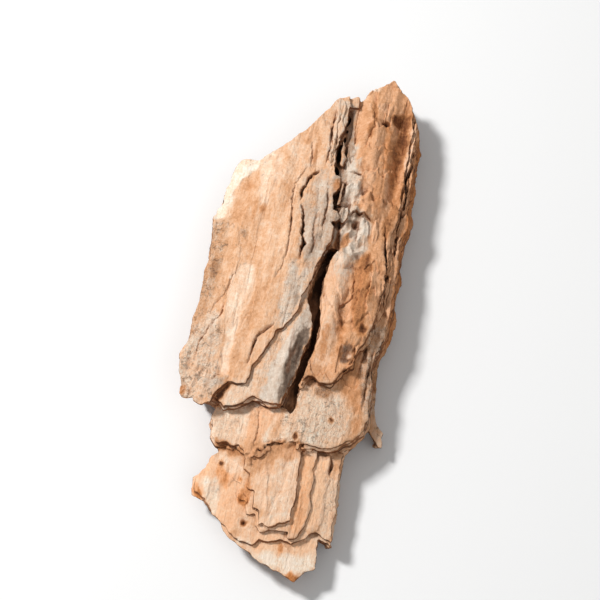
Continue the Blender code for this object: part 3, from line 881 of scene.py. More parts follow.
           (-1, -34.6), (1, -28)], tone=0.81, grey=0.04, grit=0.8, orange=0.15, blur=1.5),
    Patch([(4.8, -20.8), (8.6, -21), (8, -23), (5, -23)], tone=0.46, grey=0.5, grit=1.0),
    Patch(oval(9.9, -27.4, 0.6, 0.6), tone=0.25, blur=0.3),
    Patch(oval(3.1, -32.5, 0.5, 0.5), tone=0.15, blur=0.3),
    # the crumbs at the step's foot, and the painted shadow under the step's edge
    Patch([(-12.4, -35.5), (-9, -36), (-6.4, -36.4), (-5.4, -38.2), (-4.2, -38), (-3.2, -36.2), (0, -34.2),
           (5.6, -33.6), (5.6, -34.9), (0, -36.2), (-3, -38), (-4, -39.6), (-6, -39.4), (-12.4, -37)],
          tone=0.42, orange=0.4, grit=0.3, blur=0.4),
    # the tongue
    Patch([(-13.6, -37), (-9, -41), (-6, -40), (-4, -44), (-3, -50), (-6, -54), (-10, -51),
           (-15, -46.4), (-15.6, -43)], tone=0.82, orange=0.6, blur=0.8),
    Patch(oval(-9.6, -42.4, 2.4, 1.2, 60), tone=0.62, orange=0.9, blur=0.8),
    Patch(oval(-4.2, -45, 1, 3.4), tone=0.56, orange=0.7, blur=0.7),
    Patch([(-11.6, -37.2), (-6, -38.2), (-5.4, -41), (-8, -41.4), (-10.6, -39.4)],
          tone=0.82, orange=0.0, blur=0.8),
    Patch([(-13.8, -43.4), (-10.6, -43), (-9, -46), (-9.6, -50), (-13, -47)],
          tone=0.84, orange=0.1, blur=0.8),
    Patch(oval(-13.6, -46.4, 1.1, 0.9, 50), tone=0.5, orange=1.0, blur=0.3),
    Patch(oval(-14.8, -45.2, 0.5, 0.9), tone=0.7, orange=1.0, blur=0.3),
    Patch(oval(-4.8, -46.8, 1.1, 0.8, 40), tone=0.52, orange=1.0, blur=0.5, lift=0.3),
    Patch(oval(-6, -42.6, 0.6, 0.5), tone=0.44, orange=0.9, blur=0.3),
    Patch(oval(-3.4, -51, 0.6, 0.6), tone=0.12, orange=0.3, blur=0.3),
    Patch(oval(-10.2, -39.7, 0.5, 0.4), tone=0.12, orange=0.3, blur=0.25),
    Patch([(-3.6, -35), (5, -35), (5.4, -44), (5.2, -50), (0.4, -51.4), (-1, -46), (-2.4, -40)],
          tone=0.78, grey=0.0, orange=0.5, blur=0.8),
    Patch([(-7, -35), (5, -34), (5, -37.4), (1, -39), (-3, -41), (-6.4, -39)],
          tone=0.52, orange=0.3, blur=0.9),
    Patch([(0.2, -38), (4.8, -37), (5, -49.6), (1, -50.4), (0, -44)],
          tone=0.76, grey=0.14, orange=0.2, blur=0.8),
    Patch([(5.4, -35), (8, -35), (8.6, -46), (8, -51), (6.6, -52.6), (5.6, -50), (6, -44)],
          tone=0.82, orange=0.85, blur=0.3),
    Patch([(8.4, -35), (11, -35), (11, -49), (8.8, -50)], tone=0.93, orange=0.8, blur=0.4),
    Patch([(11, -39), (13.4, -39), (14.4, -50), (12.6, -52.4), (11, -49)], tone=0.88, grey=0.1,
          grit=0.5, orange=0.55, blur=0.4),
    Patch([(-3.6, -54.6), (6, -53.6), (11, -52.6), (12, -57), (8, -59.6), (2, -58.6)],
          tone=0.95, orange=0.35, blur=0.9),
    Patch([(-2, -53), (7, -52), (11, -51.4), (11, -54.6), (4, -56), (-1.4, -56.4)], tone=0.86, orange=0.7,
          blur=0.8),
    Patch(oval(4.6, -54.4, 0.4, 1), tone=0.5, orange=0.8, blur=0.3),
    Patch(oval(7.8, -60, 1.2, 0.8), tone=0.42, orange=0.8, blur=0.4),
]


# ---------------------------------------------------------------- the piece of bark


@dataclass
class Bark:
    """The whole piece: its plates, the trunk it bent round, and its place in the frame.

    Attributes:
        box: the solid's lowest and highest corner in the frame, in metres.
        trunk_radius: the radius the slab bends round.
        bow: how far the slab's middle rises above its ends.
        half_length: half the slab's length.
        voxel: how finely the plates are fused.
        triangles: the most triangles that the finished body keeps.
        below_share: how many of the faces that look down are kept.
        base_tone: how light the cork is where no patch covers it.
        ledge_tone: how light the ledges in the broken edges are.
        left_crest: height below which the left half shows ledges.
        right_crest: height below which the right half does.
        edge_crest: how much higher that is near the left edge.
        furrow_brim: height below which the furrow's floor is painted with shade.
        furrow_middle: the furrow's place across the grain.
        furrow_half_width: how far it reaches to either side.
        furrow_ends: where its mouth and its head are along the grain.
        sharp_angle: edges that turn by more degrees than this stay sharp.
        rays: how many ways each point looks to find what shuts it in.
        reach: how far it looks.
        body: the piece, once it is stacked.
        plan: the place of each of its points on the plan, once it has left it.
    """

    box: tuple[Vector, Vector]
    trunk_radius: float = 92.0
    bow: float = 0.9
    half_length: float = 60.0
    voxel: float = 0.18
    triangles: int = 196_000
    below_share: float = 0.12
    base_tone: float = 0.62
    ledge_tone: float = 0.45
    left_crest: float = 7.6
    right_crest: float = 5.8
    edge_crest: float = 0.6
    furrow_brim: float = 5.8
    furrow_middle: float = 1.6
    furrow_half_width: float = 3.4
    furrow_ends: Point = (-27.6, 49.0)
    sharp_angle: float = 38.0
    rays: int = 12
    reach: float = 2.6
    body: bpy.types.Object | None = None
    plan: Numbers | None = None

    def build(self) -> bpy.types.Object:
        """Make the piece from its plates to its finished surface.

        Returns:
            The bark as one object.
        """
        self.stack()
        self.fuse()
        self.weather()
        self.lighten()
        self.mend()
        self.place()
        self.paint()
        return self.body

    def dress(self, finish: "BarkFinish") -> None:
        """Put the finish on, and smooth all but the sharp edges.

        Args:
            finish: the look of the cork.
        """
        self.body.data.materials.clear()
        self.body.data.materials.append(finish.material())
        bpy.ops.object.select_all(action="DESELECT")
        self.body.select_set(True)
        bpy.context.view_layer.objects.active = self.body
        bpy.ops.object.shade_smooth_by_angle(angle=math.radians(self.sharp_angle))

    def stack(self) -> None:
        """Build every leaf of every plate and join them into one object."""
        leaves = []
        for number, plate in enumerate(PLATES):
            leaves += plate.build(seed=10 * number + 1)
        bpy.ops.object.select_all(action="DESELECT")
        for leaf in leaves:
            leaf.select_set(True)
        bpy.context.view_layer.objects.active = leaves[0]
        bpy.ops.object.join()
        self.body = bpy.context.object
        self.body.name = "bark_slab"
        bpy.ops.object.transform_apply(location=True, rotation=True, scale=True)
        bpy.ops.object.mode_set(mode="EDIT")
        bpy.ops.mesh.select_all(action="SELECT")
        bpy.ops.mesh.normals_make_consistent(inside=False)
        bpy.ops.object.mode_set(mode="OBJECT")

    def apply(self, modifier: bpy.types.Modifier) -> None:
        """Apply a modifier of the body."""
        bpy.ops.object.modifier_apply(modifier=modifier.name)

    def fuse(self) -> None:
        """Grow the separate leaves into one body."""
        remesh = self.body.modifiers.new("fuse", "REMESH")
        remesh.mode = "VOXEL"
        remesh.voxel_size = self.voxel
        self.apply(remesh)

    def points(self) -> Numbers:
        """Where the body's vertices are.

        Returns:
            A row for each vertex.
        """
        found = np.empty(len(self.body.data.vertices) * 3)
        self.body.data.vertices.foreach_get("co", found)
        return found.reshape(-1, 3)

    def normals(self) -> Numbers:
        """Which way the surface faces.

        Returns:
            A row for each vertex.
        """
        found = np.empty(len(self.body.data.vertices) * 3)
        self.body.data.vertex_normals.foreach_get("vector", found)
        return found.reshape(-1, 3)

    def move(self, points: Numbers) -> None:
        """Give the body's vertices new places."""
        self.body.data.vertices.foreach_set("co", points.ravel())
        self.body.data.update()

    def coarse(self, x: Numbers, y: Numbers) -> Numbers:
        """How rough the outer face is: the right plate is more weathered than the left."""
        return 0.45 + 0.75 * smooth(1.5, 4.0, x) * smooth(-22, -17, y)

    def sag(self, x: Numbers, y: Numbers) -> Numbers:
        """How far each point lies below the slab's middle, because the slab bends."""
        return x**2 / (2 * self.trunk_radius) + self.bow * (y / self.half_length) ** 2

    def relief(self, x: Numbers, y: Numbers, z: Numbers) -> Numbers:
        """How far the weather and the grain lift each point of the flat stack.

        Args:
            x: places across the grain.
            y: places along it.
            z: heights before the slab bends.

        Returns:
            The rise of each point, in millimetres.
        """
        outer = smooth(2.4, 4.4, z)
        inner = 1 - smooth(0.2, 1.4, z)
        rough = self.coarse(x, y)
        waves = 0.4 * rough * Noise(3).at(x / 5, y / 26)
        ridges = 0.34 * rough * Noise(5).at(x / 2.3, y / 13)
        pits = 0.07 * Noise(7).rough(2, x / 0.9, y / 1.6)
        scales = self.scales(x, y)
        steps = np.floor(scales) + smooth(0.0, 0.14, scales - np.floor(scales)) - scales
        edges = 0.36 * rough * steps
        cracks = 0.14 * rough * np.exp(-((self.cracks(x, y) / 0.1) ** 2))
        bank = smooth(2, 3.4, x) * (1 - smooth(8.6, 10.4, x)) * smooth(7, 11, y) * (1 - smooth(23, 40, y))
        folds = 0.6 * bank * (0.6 - 1.8 * np.abs(Noise(14).rough(2, x / 3, y / 3.8)))
        crust = (1 - smooth(-19, -15.5, x)) * (1 - smooth(-20, -8, y))
        lumps = 0.4 * crust * Noise(16).rough(3, x / 1.7, y / 2)
        lift = waves + ridges + pits + edges - cracks + folds + lumps
        below = 0.4 * Noise(8).at(x / 7, y / 18) + 0.12 * Noise(9).at(x / 1.1, y / 14)
        waver = 0.35 * Noise(12).at(x / 9, y / 9) * smooth(0.5, 2, z)
        return outer * lift + inner * below + waver

    def scales(self, x: Numbers, y: Numbers) -> Numbers:
        """Thin scales that overlap.

        Args:
            x: places across the grain.
            y: places along it.

        Returns:
            A number that climbs along each scale, with a new scale at each whole number.
        """
        waves = 1.1 + 1.4 * self.coarse(x, y)
        return waves * Noise(41).at(x / 8, y / 32) + 0.3 * Noise(43).rough(3, x / 2, y / 16)

    def cracks(self, x: Numbers, y: Numbers) -> Numbers:
        """Thin cracks that wander along the grain.

        Args:
            x: places across the grain.
            y: places along it.

        Returns:
            0 in the middle of a crack, and more away from it or where it has closed.
        """
        open_here = Noise(49).at(x / 5, y / 11) + 0.4 * (self.coarse(x, y) - 1)
        closed = 0.5 * (1 - smooth(-0.3, 0.1, open_here))
        return np.abs(Noise(47).at(x / 3.2, y / 26) + 0.1 * Noise(48).at(x / 1.2, y / 3)) + closed

    def fray(self, x: Numbers, y: Numbers) -> Numbers:
        """Noise that breaks up the borders of the patches."""
        return Noise(60).rough(3, x / 1.6, y / 3.4)

    def weather(self) -> None:
        """Break, lift and bend the flat stack into the shape it has on the ground."""
        x, y, z = self.points().T
        facing = self.normals()
        warp, cell = 0.22, 1.2
        warp_x = x + warp * Noise(21).rough(2, x / cell, y / cell)
        warp_y = y + warp * Noise(24).rough(2, x / cell, y / cell)
        lift = self.relief(x, y, z)
        for feature in SWELLINGS + CREASES:
            lift += feature.lift(warp_x, warp_y, z)
        fray = self.fray(x, y)
        crumbly = smooth(-1.2, 0.2, -np.abs(beside(CRUMBLING_EDGE, x, y)[0])) * smooth(5, 5.8, z)
        lift += 0.5 * crumbly * Noise(15).rough(2, x / 1.1, y / 0.9)
        for patch in PATCHES:
            if patch.lift:
                lift += patch.lift * patch.cover(x, y, fray, blur=0.12) * smooth(2.4, 4.4, z)
        pages = 0.24 * Noise(31).at(x / 7, y / 7, z / 0.42) + 0.1 * Noise(32).at(x / 1.5, y / 1.5, z / 0.5)
        wall = 1 - smooth(0.4, 0.8, np.abs(facing[:, 2]))
        side_x = pages * wall * facing[:, 0]
        side_y = pages * wall * facing[:, 1]
        self.move(np.stack([x + side_x, y + side_y, z + lift - self.sag(x, y)], axis=1))

    def lighten(self) -> None:
        """Merge small faces: first where the bark looks down, then wherever it is calm."""
        mesh = self.body.data
        facing = np.empty(len(mesh.polygons) * 3)
        mesh.polygons.foreach_get("normal", facing)
        looks_down = -0.4
        below = facing.reshape(-1, 3)[:, 2] < looks_down
        bpy.ops.object.mode_set(mode="EDIT")
        bpy.ops.mesh.select_mode(type="FACE")
        bpy.ops.mesh.select_all(action="DESELECT")
        bpy.ops.object.mode_set(mode="OBJECT")
        mesh.polygons.foreach_set("select", below)
        bpy.ops.object.mode_set(mode="EDIT")
        bpy.ops.mesh.decimate(ratio=self.below_share)
        bpy.ops.object.mode_set(mode="OBJECT")
        mesh.calc_loop_triangles()
        decimate = self.body.modifiers.new("lighten", "DECIMATE")
        decimate.ratio = min(1.0, self.triangles / len(mesh.loop_triangles))
        self.apply(decimate)

    def mend(self) -> None:
        """Cut out crumbs, and what the merging left doubled or open, and close the holes again."""
        bpy.ops.object.mode_set(mode="EDIT")
        bpy.ops.mesh.select_mode(type="VERT")
        bpy.ops.mesh.select_all(action="SELECT")
        sliver = 0.003
        rounds = 3
        bpy.ops.mesh.dissolve_degenerate(threshold=sliver)
        bpy.ops.mesh.select_all(action="DESELECT")
        bpy.ops.object.mode_set(mode="OBJECT")
        highest = self.points()[:, 2].argmax()
        self.body.data.vertices[highest].select = True
        bpy.ops.object.mode_set(mode="EDIT")
        bpy.ops.mesh.select_linked()
        bpy.ops.mesh.select_all(action="INVERT")
        bpy.ops.mesh.delete(type="VERT")
        for _ in range(rounds):
            bpy.ops.mesh.select_all(action="DESELECT")
            bpy.ops.mesh.select_non_manifold(extend=False)
            bpy.ops.mesh.delete(type="VERT")
            bpy.ops.mesh.select_all(action="SELECT")
            bpy.ops.mesh.delete_loose()
            bpy.ops.mesh.select_all(action="SELECT")
            bpy.ops.mesh.fill_holes(sides=0)
        bpy.ops.mesh.select_all(action="SELECT")
        bpy.ops.mesh.quads_convert_to_tris()
        bpy.ops.mesh.normals_make_consistent(inside=False)
        bpy.ops.object.mode_set(mode="OBJECT")

    def place(self) -> None:
        """Bring the body from its plan in millimetres into the solid's box in the frame."""
        plan = self.points()
        low, high = plan.min(axis=0), plan.max(axis=0)
        box_low, box_high = np.array(self.box[0]), np.array(self.box[1])
        size = (box_high - box_low) / (high - low)
        self.move((plan - low) * size + box_low)
        self.plan = plan

    def patchwork(self, x: Numbers, y: Numbers) -> dict[StainAndShade, Numbers]:
        """Lay all the patches over each other.

        Args:
            x: places across the grain.
            y: places along it.

        Returns:
            How strong each stain is at each point.
        """
        fray = self.fray(x, y)
        paints = {
            StainAndShade.TONE: np.full(x.shape, self.base_tone),
            StainAndShade.GREY: np.zeros_like(x),
            StainAndShade.GRIT: np.zeros_like(x),
            StainAndShade.ORANGE: np.zeros_like(x),
        }
        for patch in PATCHES:
            cover = patch.cover(x, y, fray, patch.blur)
            for stain, paint in paints.items():
                target = getattr(patch, stain.value)
                if target is not None:
                    paint += (target - paint) * cover
        return paints

    def ledges(self, x: Numbers, y: Numbers, z: Numbers) -> Numbers:
        """Where the ledges in the broken edges are, below the plates' outer faces.

        Args:
            x: places across the grain.
            y: places along it.
            z: heights once the slab is bent.

        Returns:
            From 0 on an outer face to 1 on a ledge.
        """
        left_half = (x < 1.5) & (y > -24)
        right_half = (x > 3) & (y > -18)
        left_rim = (1 - smooth(-18, -14, x)) * (y > -24)
        crest = np.where(left_half, self.left_crest, 0)
        crest = np.where(right_half, self.right_crest, crest)
        crest += self.edge_crest * left_rim
        return smooth(0, 1, crest - z - self.sag(x, y))

    def painted_shade(self, outward: Numbers, normals: Numbers) -> Numbers:
        """How much painted shade lies in the gaps, the cracks and on the furrow's floor.

        Args:
            outward: from 0 to 1, how far each point faces up.
            normals: which way the surface faces at each point.

        Returns:
            From 0 in the open to 1 in the dark.
        """
        x, y, z = self.plan.T
        dark = self.shade(normals)
        for crease in CREASES:
            dark = np.maximum(dark, crease.darken(x, y) * outward)
        mouth, head = self.furrow_ends
        furrow = (np.abs(x - self.furrow_middle) < self.furrow_half_width) & (y > mouth) & (y < head)
        depth = smooth(0.2, 1.6, self.furrow_brim - z)
        return np.maximum(dark, furrow * depth * (0.3 + 0.6 * smooth(-28, -22, y)))

    def paint(self) -> None:
        """Paint on the body where its material finds each colour."""
        x, y, z = self.plan.T
        normals = self.normals()
        up = normals[:, 2]
        outward = smooth(0.1, 0.5, up)
        ledge = self.ledges(x, y, z)
        paints = self.patchwork(x, y)
        paints[StainAndShade.TONE] += (self.ledge_tone - paints[StainAndShade.TONE]) * ledge
        paints[StainAndShade.GREY] *= 1 - ledge
        for stain in (StainAndShade.GREY, StainAndShade.GRIT):
            paints[stain] *= outward
        paints[StainAndShade.SCALE] = self.scales(x, y)
        paints[StainAndShade.CRACK] = self.cracks(x, y)
        # painted shade: darker where the bark shuts a point in, in the creases' gaps and on the furrow's
        # floor
        paints[StainAndShade.CREVICE] = self.painted_shade(outward, normals)
        # partly the layered colour of broken cork, partly painted shade: steep walls are darkened
        paints[StainAndShade.FLANK] = 1 - smooth(0.3, 0.75, np.abs(up))
        paints[StainAndShade.INNER] = smooth(0.3, 0.7, -up) * (1 - smooth(2, 5, z))
        # paler fresh cork and a painted highlight on the convex edges of the leaves
        paints[StainAndShade.RIM] = smooth(0.1, 0.45, self.convexity(normals))
        for stain, paint in paints.items():
            layer = self.body.data.attributes.new(stain.value, "FLOAT", "POINT")
            layer.data.foreach_set("value", paint.astype(np.float32))

    def shade(self, normals: Numbers) -> Numbers:
        """How far the bark shuts each of its own points in, from 0 in the open to 1 in a crack.

        Args:
            normals: which way the surface faces at each point.

        Returns:
            The share of the directions in which more bark stands close by.
        """
        tree = BVHTree.FromPolygons(
            [vertex.co / MM for vertex in self.body.data.vertices],
            [face.vertices for face in self.body.data.polygons],
        )
        turn = math.pi * (3 - math.sqrt(5))
        heights = [1 - (2 * i + 1) / (2 * self.rays) for i in range(self.rays)]
        fan = [(math.cos(turn * i), math.sin(turn * i), height) for i, height in enumerate(heights)]
        clear = 0.06
        shut = np.zeros(len(normals))
        for number, (point, normal) in enumerate(zip(self.body.data.vertices, normals)):
            axis = Vector(normal)
            start = point.co / MM + axis * clear
            side = axis.orthogonal().normalized()
            other = axis.cross(side)
            for across, ahead, height in fan:
                flat = math.sqrt(1 - height * height)
                ray = side * (across * flat) + other * (ahead * flat) + axis * height
                if tree.ray_cast(start, ray, self.reach)[0] is not None:
                    shut[number] += 1 / self.rays
        return shut

    def convexity(self, normals: Numbers) -> Numbers:
        """How sharply each point stands out of its neighbours.

        Args:
            normals: which way the surface faces at each point.

        Returns:
            Above 0 on an edge, 0 where the surface is flat and below 0 in a groove.
        """
        mesh = self.body.data
        points = self.points() / MM
        ends = np.empty(len(mesh.edges) * 2, dtype=np.int64)
        mesh.edges.foreach_get("vertices", ends)
        first, last = ends.reshape(-1, 2).T
        total = np.zeros_like(points)
        reach = np.zeros(len(points))
        for here, there in ((first, last), (last, first)):
            step = points[there] - points[here]
            np.add.at(total, here, step)
            np.add.at(reach, here, np.linalg.norm(step, axis=1))
        return -np.einsum("ij,ij->i", total, normals) / (reach + 1e-9)


# ---------------------------------------------------------------- material boards


@dataclass(frozen=True)
class Value:
    """A number that varies over the surface, usable in sums."""

    board: "Board"
    socket: bpy.types.NodeSocket

    def maths(self, operation: str, *others: "Value | float") -> "Value":
        """One Math node on this value and the others."""
        return self.board.maths(operation, self, *others)

    def __add__(self, other: "Value | float") -> "Value":
        """The sum."""
        return self.maths("ADD", other)

    def __radd__(self, other: float) -> "Value":
        """The sum, with a number first."""
        return self.maths("ADD", other)

    def __sub__(self, other: "Value | float") -> "Value":
        """The difference."""
        return self.maths("SUBTRACT", other)

    def __rsub__(self, other: float) -> "Value":
        """The difference, with a number first."""
        return self.board.maths("SUBTRACT", other, self)

    def __mul__(self, other: "Value | float") -> "Value":
        """The product."""
        return self.maths("MULTIPLY", other)

    def __rmul__(self, other: float) -> "Value":
        """The product, with a number first."""
        return self.maths("MULTIPLY", other)

    def over(self, low: float, high: float) -> "Value":
        """0 below low, 1 above high and an easy curve between them."""
        settings = {"interpolation_type": "SMOOTHSTEP", "clamp": True}
        return self.board.node("ShaderNodeMapRange", settings, {0: self, 1: low, 2: high})


class Board:
    """The node board of one material."""

    def __init__(self, material: bpy.types.Material) -> None:
        """Open the material's board and find its shader.

        Args:
            material: the material that the board belongs to.
        """
        material.use_nodes = True
        self.tree = material.node_tree
        self.shader = self.tree.nodes["Principled BSDF"]

    def node(
        self,
        kind: str,
        settings: dict[str, object] | None = None,
        inputs: dict[int | str, object] | None = None,
        output: int | str = 0,
    ) -> Value:
        """Add any node.

        Args:
            kind: the node's type name.
            settings: its own settings, such as a Math node's operation or a ramp's stops, set first.
            inputs: a value or a link for each of its sockets, by number or name.
            output: which of its outputs to use.

        Returns:
            The output, as a value.
        """
        made = self.tree.nodes.new(kind)
        for name, setting in (settings or {}).items():
            if name == "stops":
                self.mark(made.color_ramp.elements, setting)
            else:
                setattr(made, name, setting)
        for name, source in (inputs or {}).items():
            self.feed(made.inputs[name], source)
        return Value(self, made.outputs[output])

    def mark(self, marks: bpy.types.ColorRampElements, stops: Ramp) -> None:
        """Put a ramp's colours in their places.

        Args:
            marks: the ramp node's own marks.
            stops: the places from 0 to 1, and their colours.
        """
        while len(marks) < len(stops):
            marks.new(1.0)
        for mark, (position, colour) in zip(marks, stops):
            mark.position = position
            mark.color = (*colour, 1.0)

    def feed(self, socket: bpy.types.NodeSocket, source: object) -> None:
        """Link a value to a socket, or set the socket to a plain number or colour.

        Args:
            socket: the input to fill.
            source: the value, number or colour.
        """
        if isinstance(source, Value):
            self.tree.links.new(source.socket, socket)
        elif isinstance(source, tuple) and socket.type == "RGBA":
            socket.default_value = (*source, 1.0)
        else:
            socket.default_value = source

    def maths(self, operation: str, *terms: Value | float) -> Value:
        """One Math node on values and numbers."""
        return self.node("ShaderNodeMath", {"operation": operation}, dict(enumerate(terms)))

    def mix(self, below: Value | Colour, above: Value | Colour, share: Value | float) -> Value:
        """One colour laid over another.

        Args:
            below: the colour underneath.
            above: the colour laid on it.
            share: how much of it covers.

        Returns:
            The mixed colour.
        """
        return self.node("ShaderNodeMix", {"data_type": "RGBA"}, {0: share, 6: below, 7: above}, output=2)

    def place(self, stretch: Colour) -> Value:
        """Where a point is on the object, with each axis multiplied by its stretch."""
        here = self.node("ShaderNodeTexCoord", output="Object")
        return self.node("ShaderNodeVectorMath", {"operation": "MULTIPLY"}, {0: here, 1: stretch})

    def noise(self, where: Value, scale: float, detail: float = 3.0, roughness: float = 0.55) -> Value:
        """Noise from 0 to 1, with its cells 1 / scale wide."""
        sizes = {"Vector": where, "Scale": scale, "Detail": detail, "Roughness": roughness}
        return self.node("ShaderNodeTexNoise", None, sizes)

    def ramp(self, stops: Ramp, place: Value) -> Value:
        """The colour at a place along a ramp, a number from 0 to 1."""
        return self.node("ShaderNodeValToRGB", {"stops": stops}, {0: place})

    def painted(self, stain: StainAndShade) -> Value:
        """How strongly one of the stains, painted shades and painted highlights lies on the piece."""
        settings = {"attribute_type": "GEOMETRY", "attribute_name": stain.value}
        return self.node("ShaderNodeAttribute", settings, output="Fac")


@dataclass(frozen=True)
class BarkFinish:
    """Dry flaky cork.

    Attributes:
        fresh: the colours of cork that broke lately, from dark to light.
        weathered: the colours of cork that has turned grey.
        orange: the colours of the rusty stains.
        speck: the dark specks.
        deep_shade: the painted shade of the deepest gaps, also the dark ground of a broken edge.
        rust_and_shade: the cracks, and the painted shade at the mouths of the gaps.
        edge: the lit edges of the leaves.
        inner_light: the lighter fibres of the inner face.
        inner_dark: the darker ones.
        scale_tint: how much the scales differ in lightness.
        streaky: how strong the streaks along the grain are.
        blotchy: how strong the large blotches are.
        mottled: how strong the fine mottling is.
        grainy: how strong the grains are where there is grit.
        orange_strength: how far orange covers the fresh colour.
        worn_strength: how far grey covers them both.
        speck_strength: how dark the specks are.
        crack_strength: how dark the thin cracks are.
        rim_highlight_strength: how light the rims are, paler fresh cork with a painted highlight.
        roughness: how matt the cork is.
        gloss: how strongly it reflects.
        grain_depth: how deep its grain is, in metres.
    """

    fresh: Ramp = (
        (0.00, (0.075, 0.028, 0.012)),
        (0.15, (0.21, 0.078, 0.032)),
        (0.32, (0.50, 0.235, 0.105)),
        (0.48, (0.71, 0.37, 0.19)),
        (0.62, (0.82, 0.495, 0.30)),
        (0.76, (0.885, 0.61, 0.425)),
        (0.90, (0.945, 0.775, 0.60)),
        (1.00, (0.965, 0.89, 0.77)),
    )
    weathered: Ramp = (
        (0.00, (0.05, 0.034, 0.024)),
        (0.30, (0.19, 0.14, 0.105)),
        (0.50, (0.37, 0.285, 0.22)),
        (0.70, (0.60, 0.48, 0.38)),
        (0.90, (0.80, 0.685, 0.57)),
    )
    orange: Ramp = (
        (0.00, (0.10, 0.03, 0.008)),
        (0.40, (0.52, 0.17, 0.035)),
        (0.70, (0.87, 0.39, 0.165)),
        (1.00, (0.94, 0.55, 0.31)),
    )
    speck: Colour = (0.13, 0.075, 0.045)
    deep_shade: Colour = (0.035, 0.014, 0.006)
    rust_and_shade: Colour = (0.30, 0.105, 0.035)
    edge: Colour = (0.74, 0.40, 0.20)
    inner_light: Colour = (0.22, 0.075, 0.025)
    inner_dark: Colour = (0.085, 0.024, 0.008)
    scale_tint: float = 0.1
    streaky: float = 0.4
    blotchy: float = 0.42
    mottled: float = 0.5
    grainy: float = 0.45
    orange_strength: float = 0.85
    worn_strength: float = 0.92
    speck_strength: float = 0.65
    crack_strength: float = 0.38
    rim_highlight_strength: float = 0.3
    roughness: float = 0.88
    gloss: float = 0.25
    grain_depth: float = 0.0004

    def material(self) -> bpy.types.Material:
        """Mix the cork.

        Returns:
            The material, ready to be put on a piece with painted stains, shade and highlights.
        """
        material = bpy.data.materials.new("bark_cork")
        board = Board(material)
        board.feed(board.shader.inputs["Base Color"], self.colour(board))
        board.feed(board.shader.inputs["Normal"], self.grain(board))
        board.shader.inputs["Roughness"].default_value = self.roughness
        board.shader.inputs["Specular IOR Level"].default_value = self.gloss
        return material

    def colour(self, board: Board) -> Value:
        """The cork's colour at each point.

        Args:
            board: the board to build on.

        Returns:
            The colour, from the painted stains, shade and highlights, the noise and the broken edges.
        """
        spot = board.place((1000, 1000, 1000))
        along_grain = board.place((1000, 180, 1000))
        blotch = board.noise(spot, 0.4, 4) - 0.5
        fine = board.noise(spot, 1.6, 6, 0.75) - 0.5
        streak = board.noise(along_grain, 0.8, 6, 0.65) - 0.5
        scale = board.painted(StainAndShade.SCALE)
        own = board.node("ShaderNodeTexWhiteNoise", {"noise_dimensions": "1D"},
                         {"W": scale.maths("FLOOR")}, output="Value") - 0.5
        grit = board.painted(StainAndShade.GRIT)
        grains = board.noise(spot, 2.6, 3, 0.6) - 0.5
        light = board.painted(StainAndShade.TONE) + own * self.scale_tint + streak * self.streaky
        light = light + blotch * self.blotchy + fine * self.mottled + grains * grit * self.grainy

        skin = board.ramp(self.fresh, light)
        strong = (board.painted(StainAndShade.ORANGE) + blotch * 0.5 + streak * 0.5).over(0.1, 0.9)
        skin = board.mix(skin, board.ramp(self.orange, light), strong * self.orange_strength)
        worn = (board.painted(StainAndShade.GREY) + fine * 0.8 + streak * 0.5 + blotch * 0.8).over(0.08, 0.95)
        skin = board.mix(skin, board.ramp(self.weathered, light + 0.02), worn * self.worn_strength)
        specks = board.noise(spot, 1.25, 6, 0.8)
        clumps = board.noise(spot, 0.33, 3, 0.6)
        dark_specks = (specks + clumps * 0.4 + grit * 0.12).over(0.82, 0.95)
        skin = board.mix(skin, self.speck, dark_specks * self.speck_strength)
        begun = scale - scale.maths("FLOOR")
        lip = (1 - begun.over(0.02, 0.11)) * (streak + 0.5).over(0.4, 0.6)
        crack = 1 - board.painted(StainAndShade.CRACK).over(0.0, 0.07)
        skin = board.mix(skin, self.rust_and_shade, lip.maths("MAXIMUM", crack) * self.crack_strength)
        # steep walls: layered broken cork, darkened as painted shade
        skin = board.mix(skin, self.broken(board), board.painted(StainAndShade.FLANK).over(0.3, 0.9) * 0.92)
        # paler fresh cork and a painted highlight on the convex edges
        skin = board.mix(skin, self.edge, board.painted(StainAndShade.RIM).over(0.2, 1.0) * self.rim_highlight_strength)
        # painted shade: rust brown at the mouths of the gaps, near black deep inside them
        shut = board.painted(StainAndShade.CREVICE)
        skin = board.mix(skin, self.rust_and_shade, shut.over(0.3, 0.6) * 0.7)
        skin = board.mix(skin, self.deep_shade, shut.over(0.45, 0.85) * 0.97)
        fibre = board.noise(board.place((1000, 40, 1000)), 1.1, 5, 0.7)
        inside_face = board.mix(self.inner_dark, self.inner_light, fibre.over(0.3, 0.7))
        return board.mix(skin, inside_face, board.painted(StainAndShade.INNER))

    def broken(self, board: Board) -> Value:
        """The colour of a broken edge, where the thin layers show as lines on a dark ground that is partly
        painted shade.

        Args:
            board: the board to build on.

        Returns:
            The colour.
        """
        layers = board.noise(board.place((140, 140, 1700)), 1.3, 5, 0.7)
        dark = board.mix(self.deep_shade, self.rust_and_shade, layers.over(0.4, 0.56))
        return board.mix(dark, self.edge, layers.over(0.56, 0.68) * 0.6)

    def grain(self, board: Board) -> Value:
        """The cork's finest relief.

        Args:
            board: the board to build on.

        Returns:
            The normal.
        """
        spot = board.place((1000, 1000, 1000))
        along_grain = board.place((1000, 240, 1000))
        pits = board.noise(spot, 2.4, 5, 0.65)
        fibres = board.noise(along_grain, 2.2, 5, 0.6)
        height = pits * (0.5 + 0.8 * board.painted(StainAndShade.GRIT)) + fibres * 0.7
        inputs = {"Height": height, "Distance": self.grain_depth, "Strength": 0.9}
        return board.node("ShaderNodeBump", None, inputs, output="Normal")


# ---------------------------------------------------------------- the studio


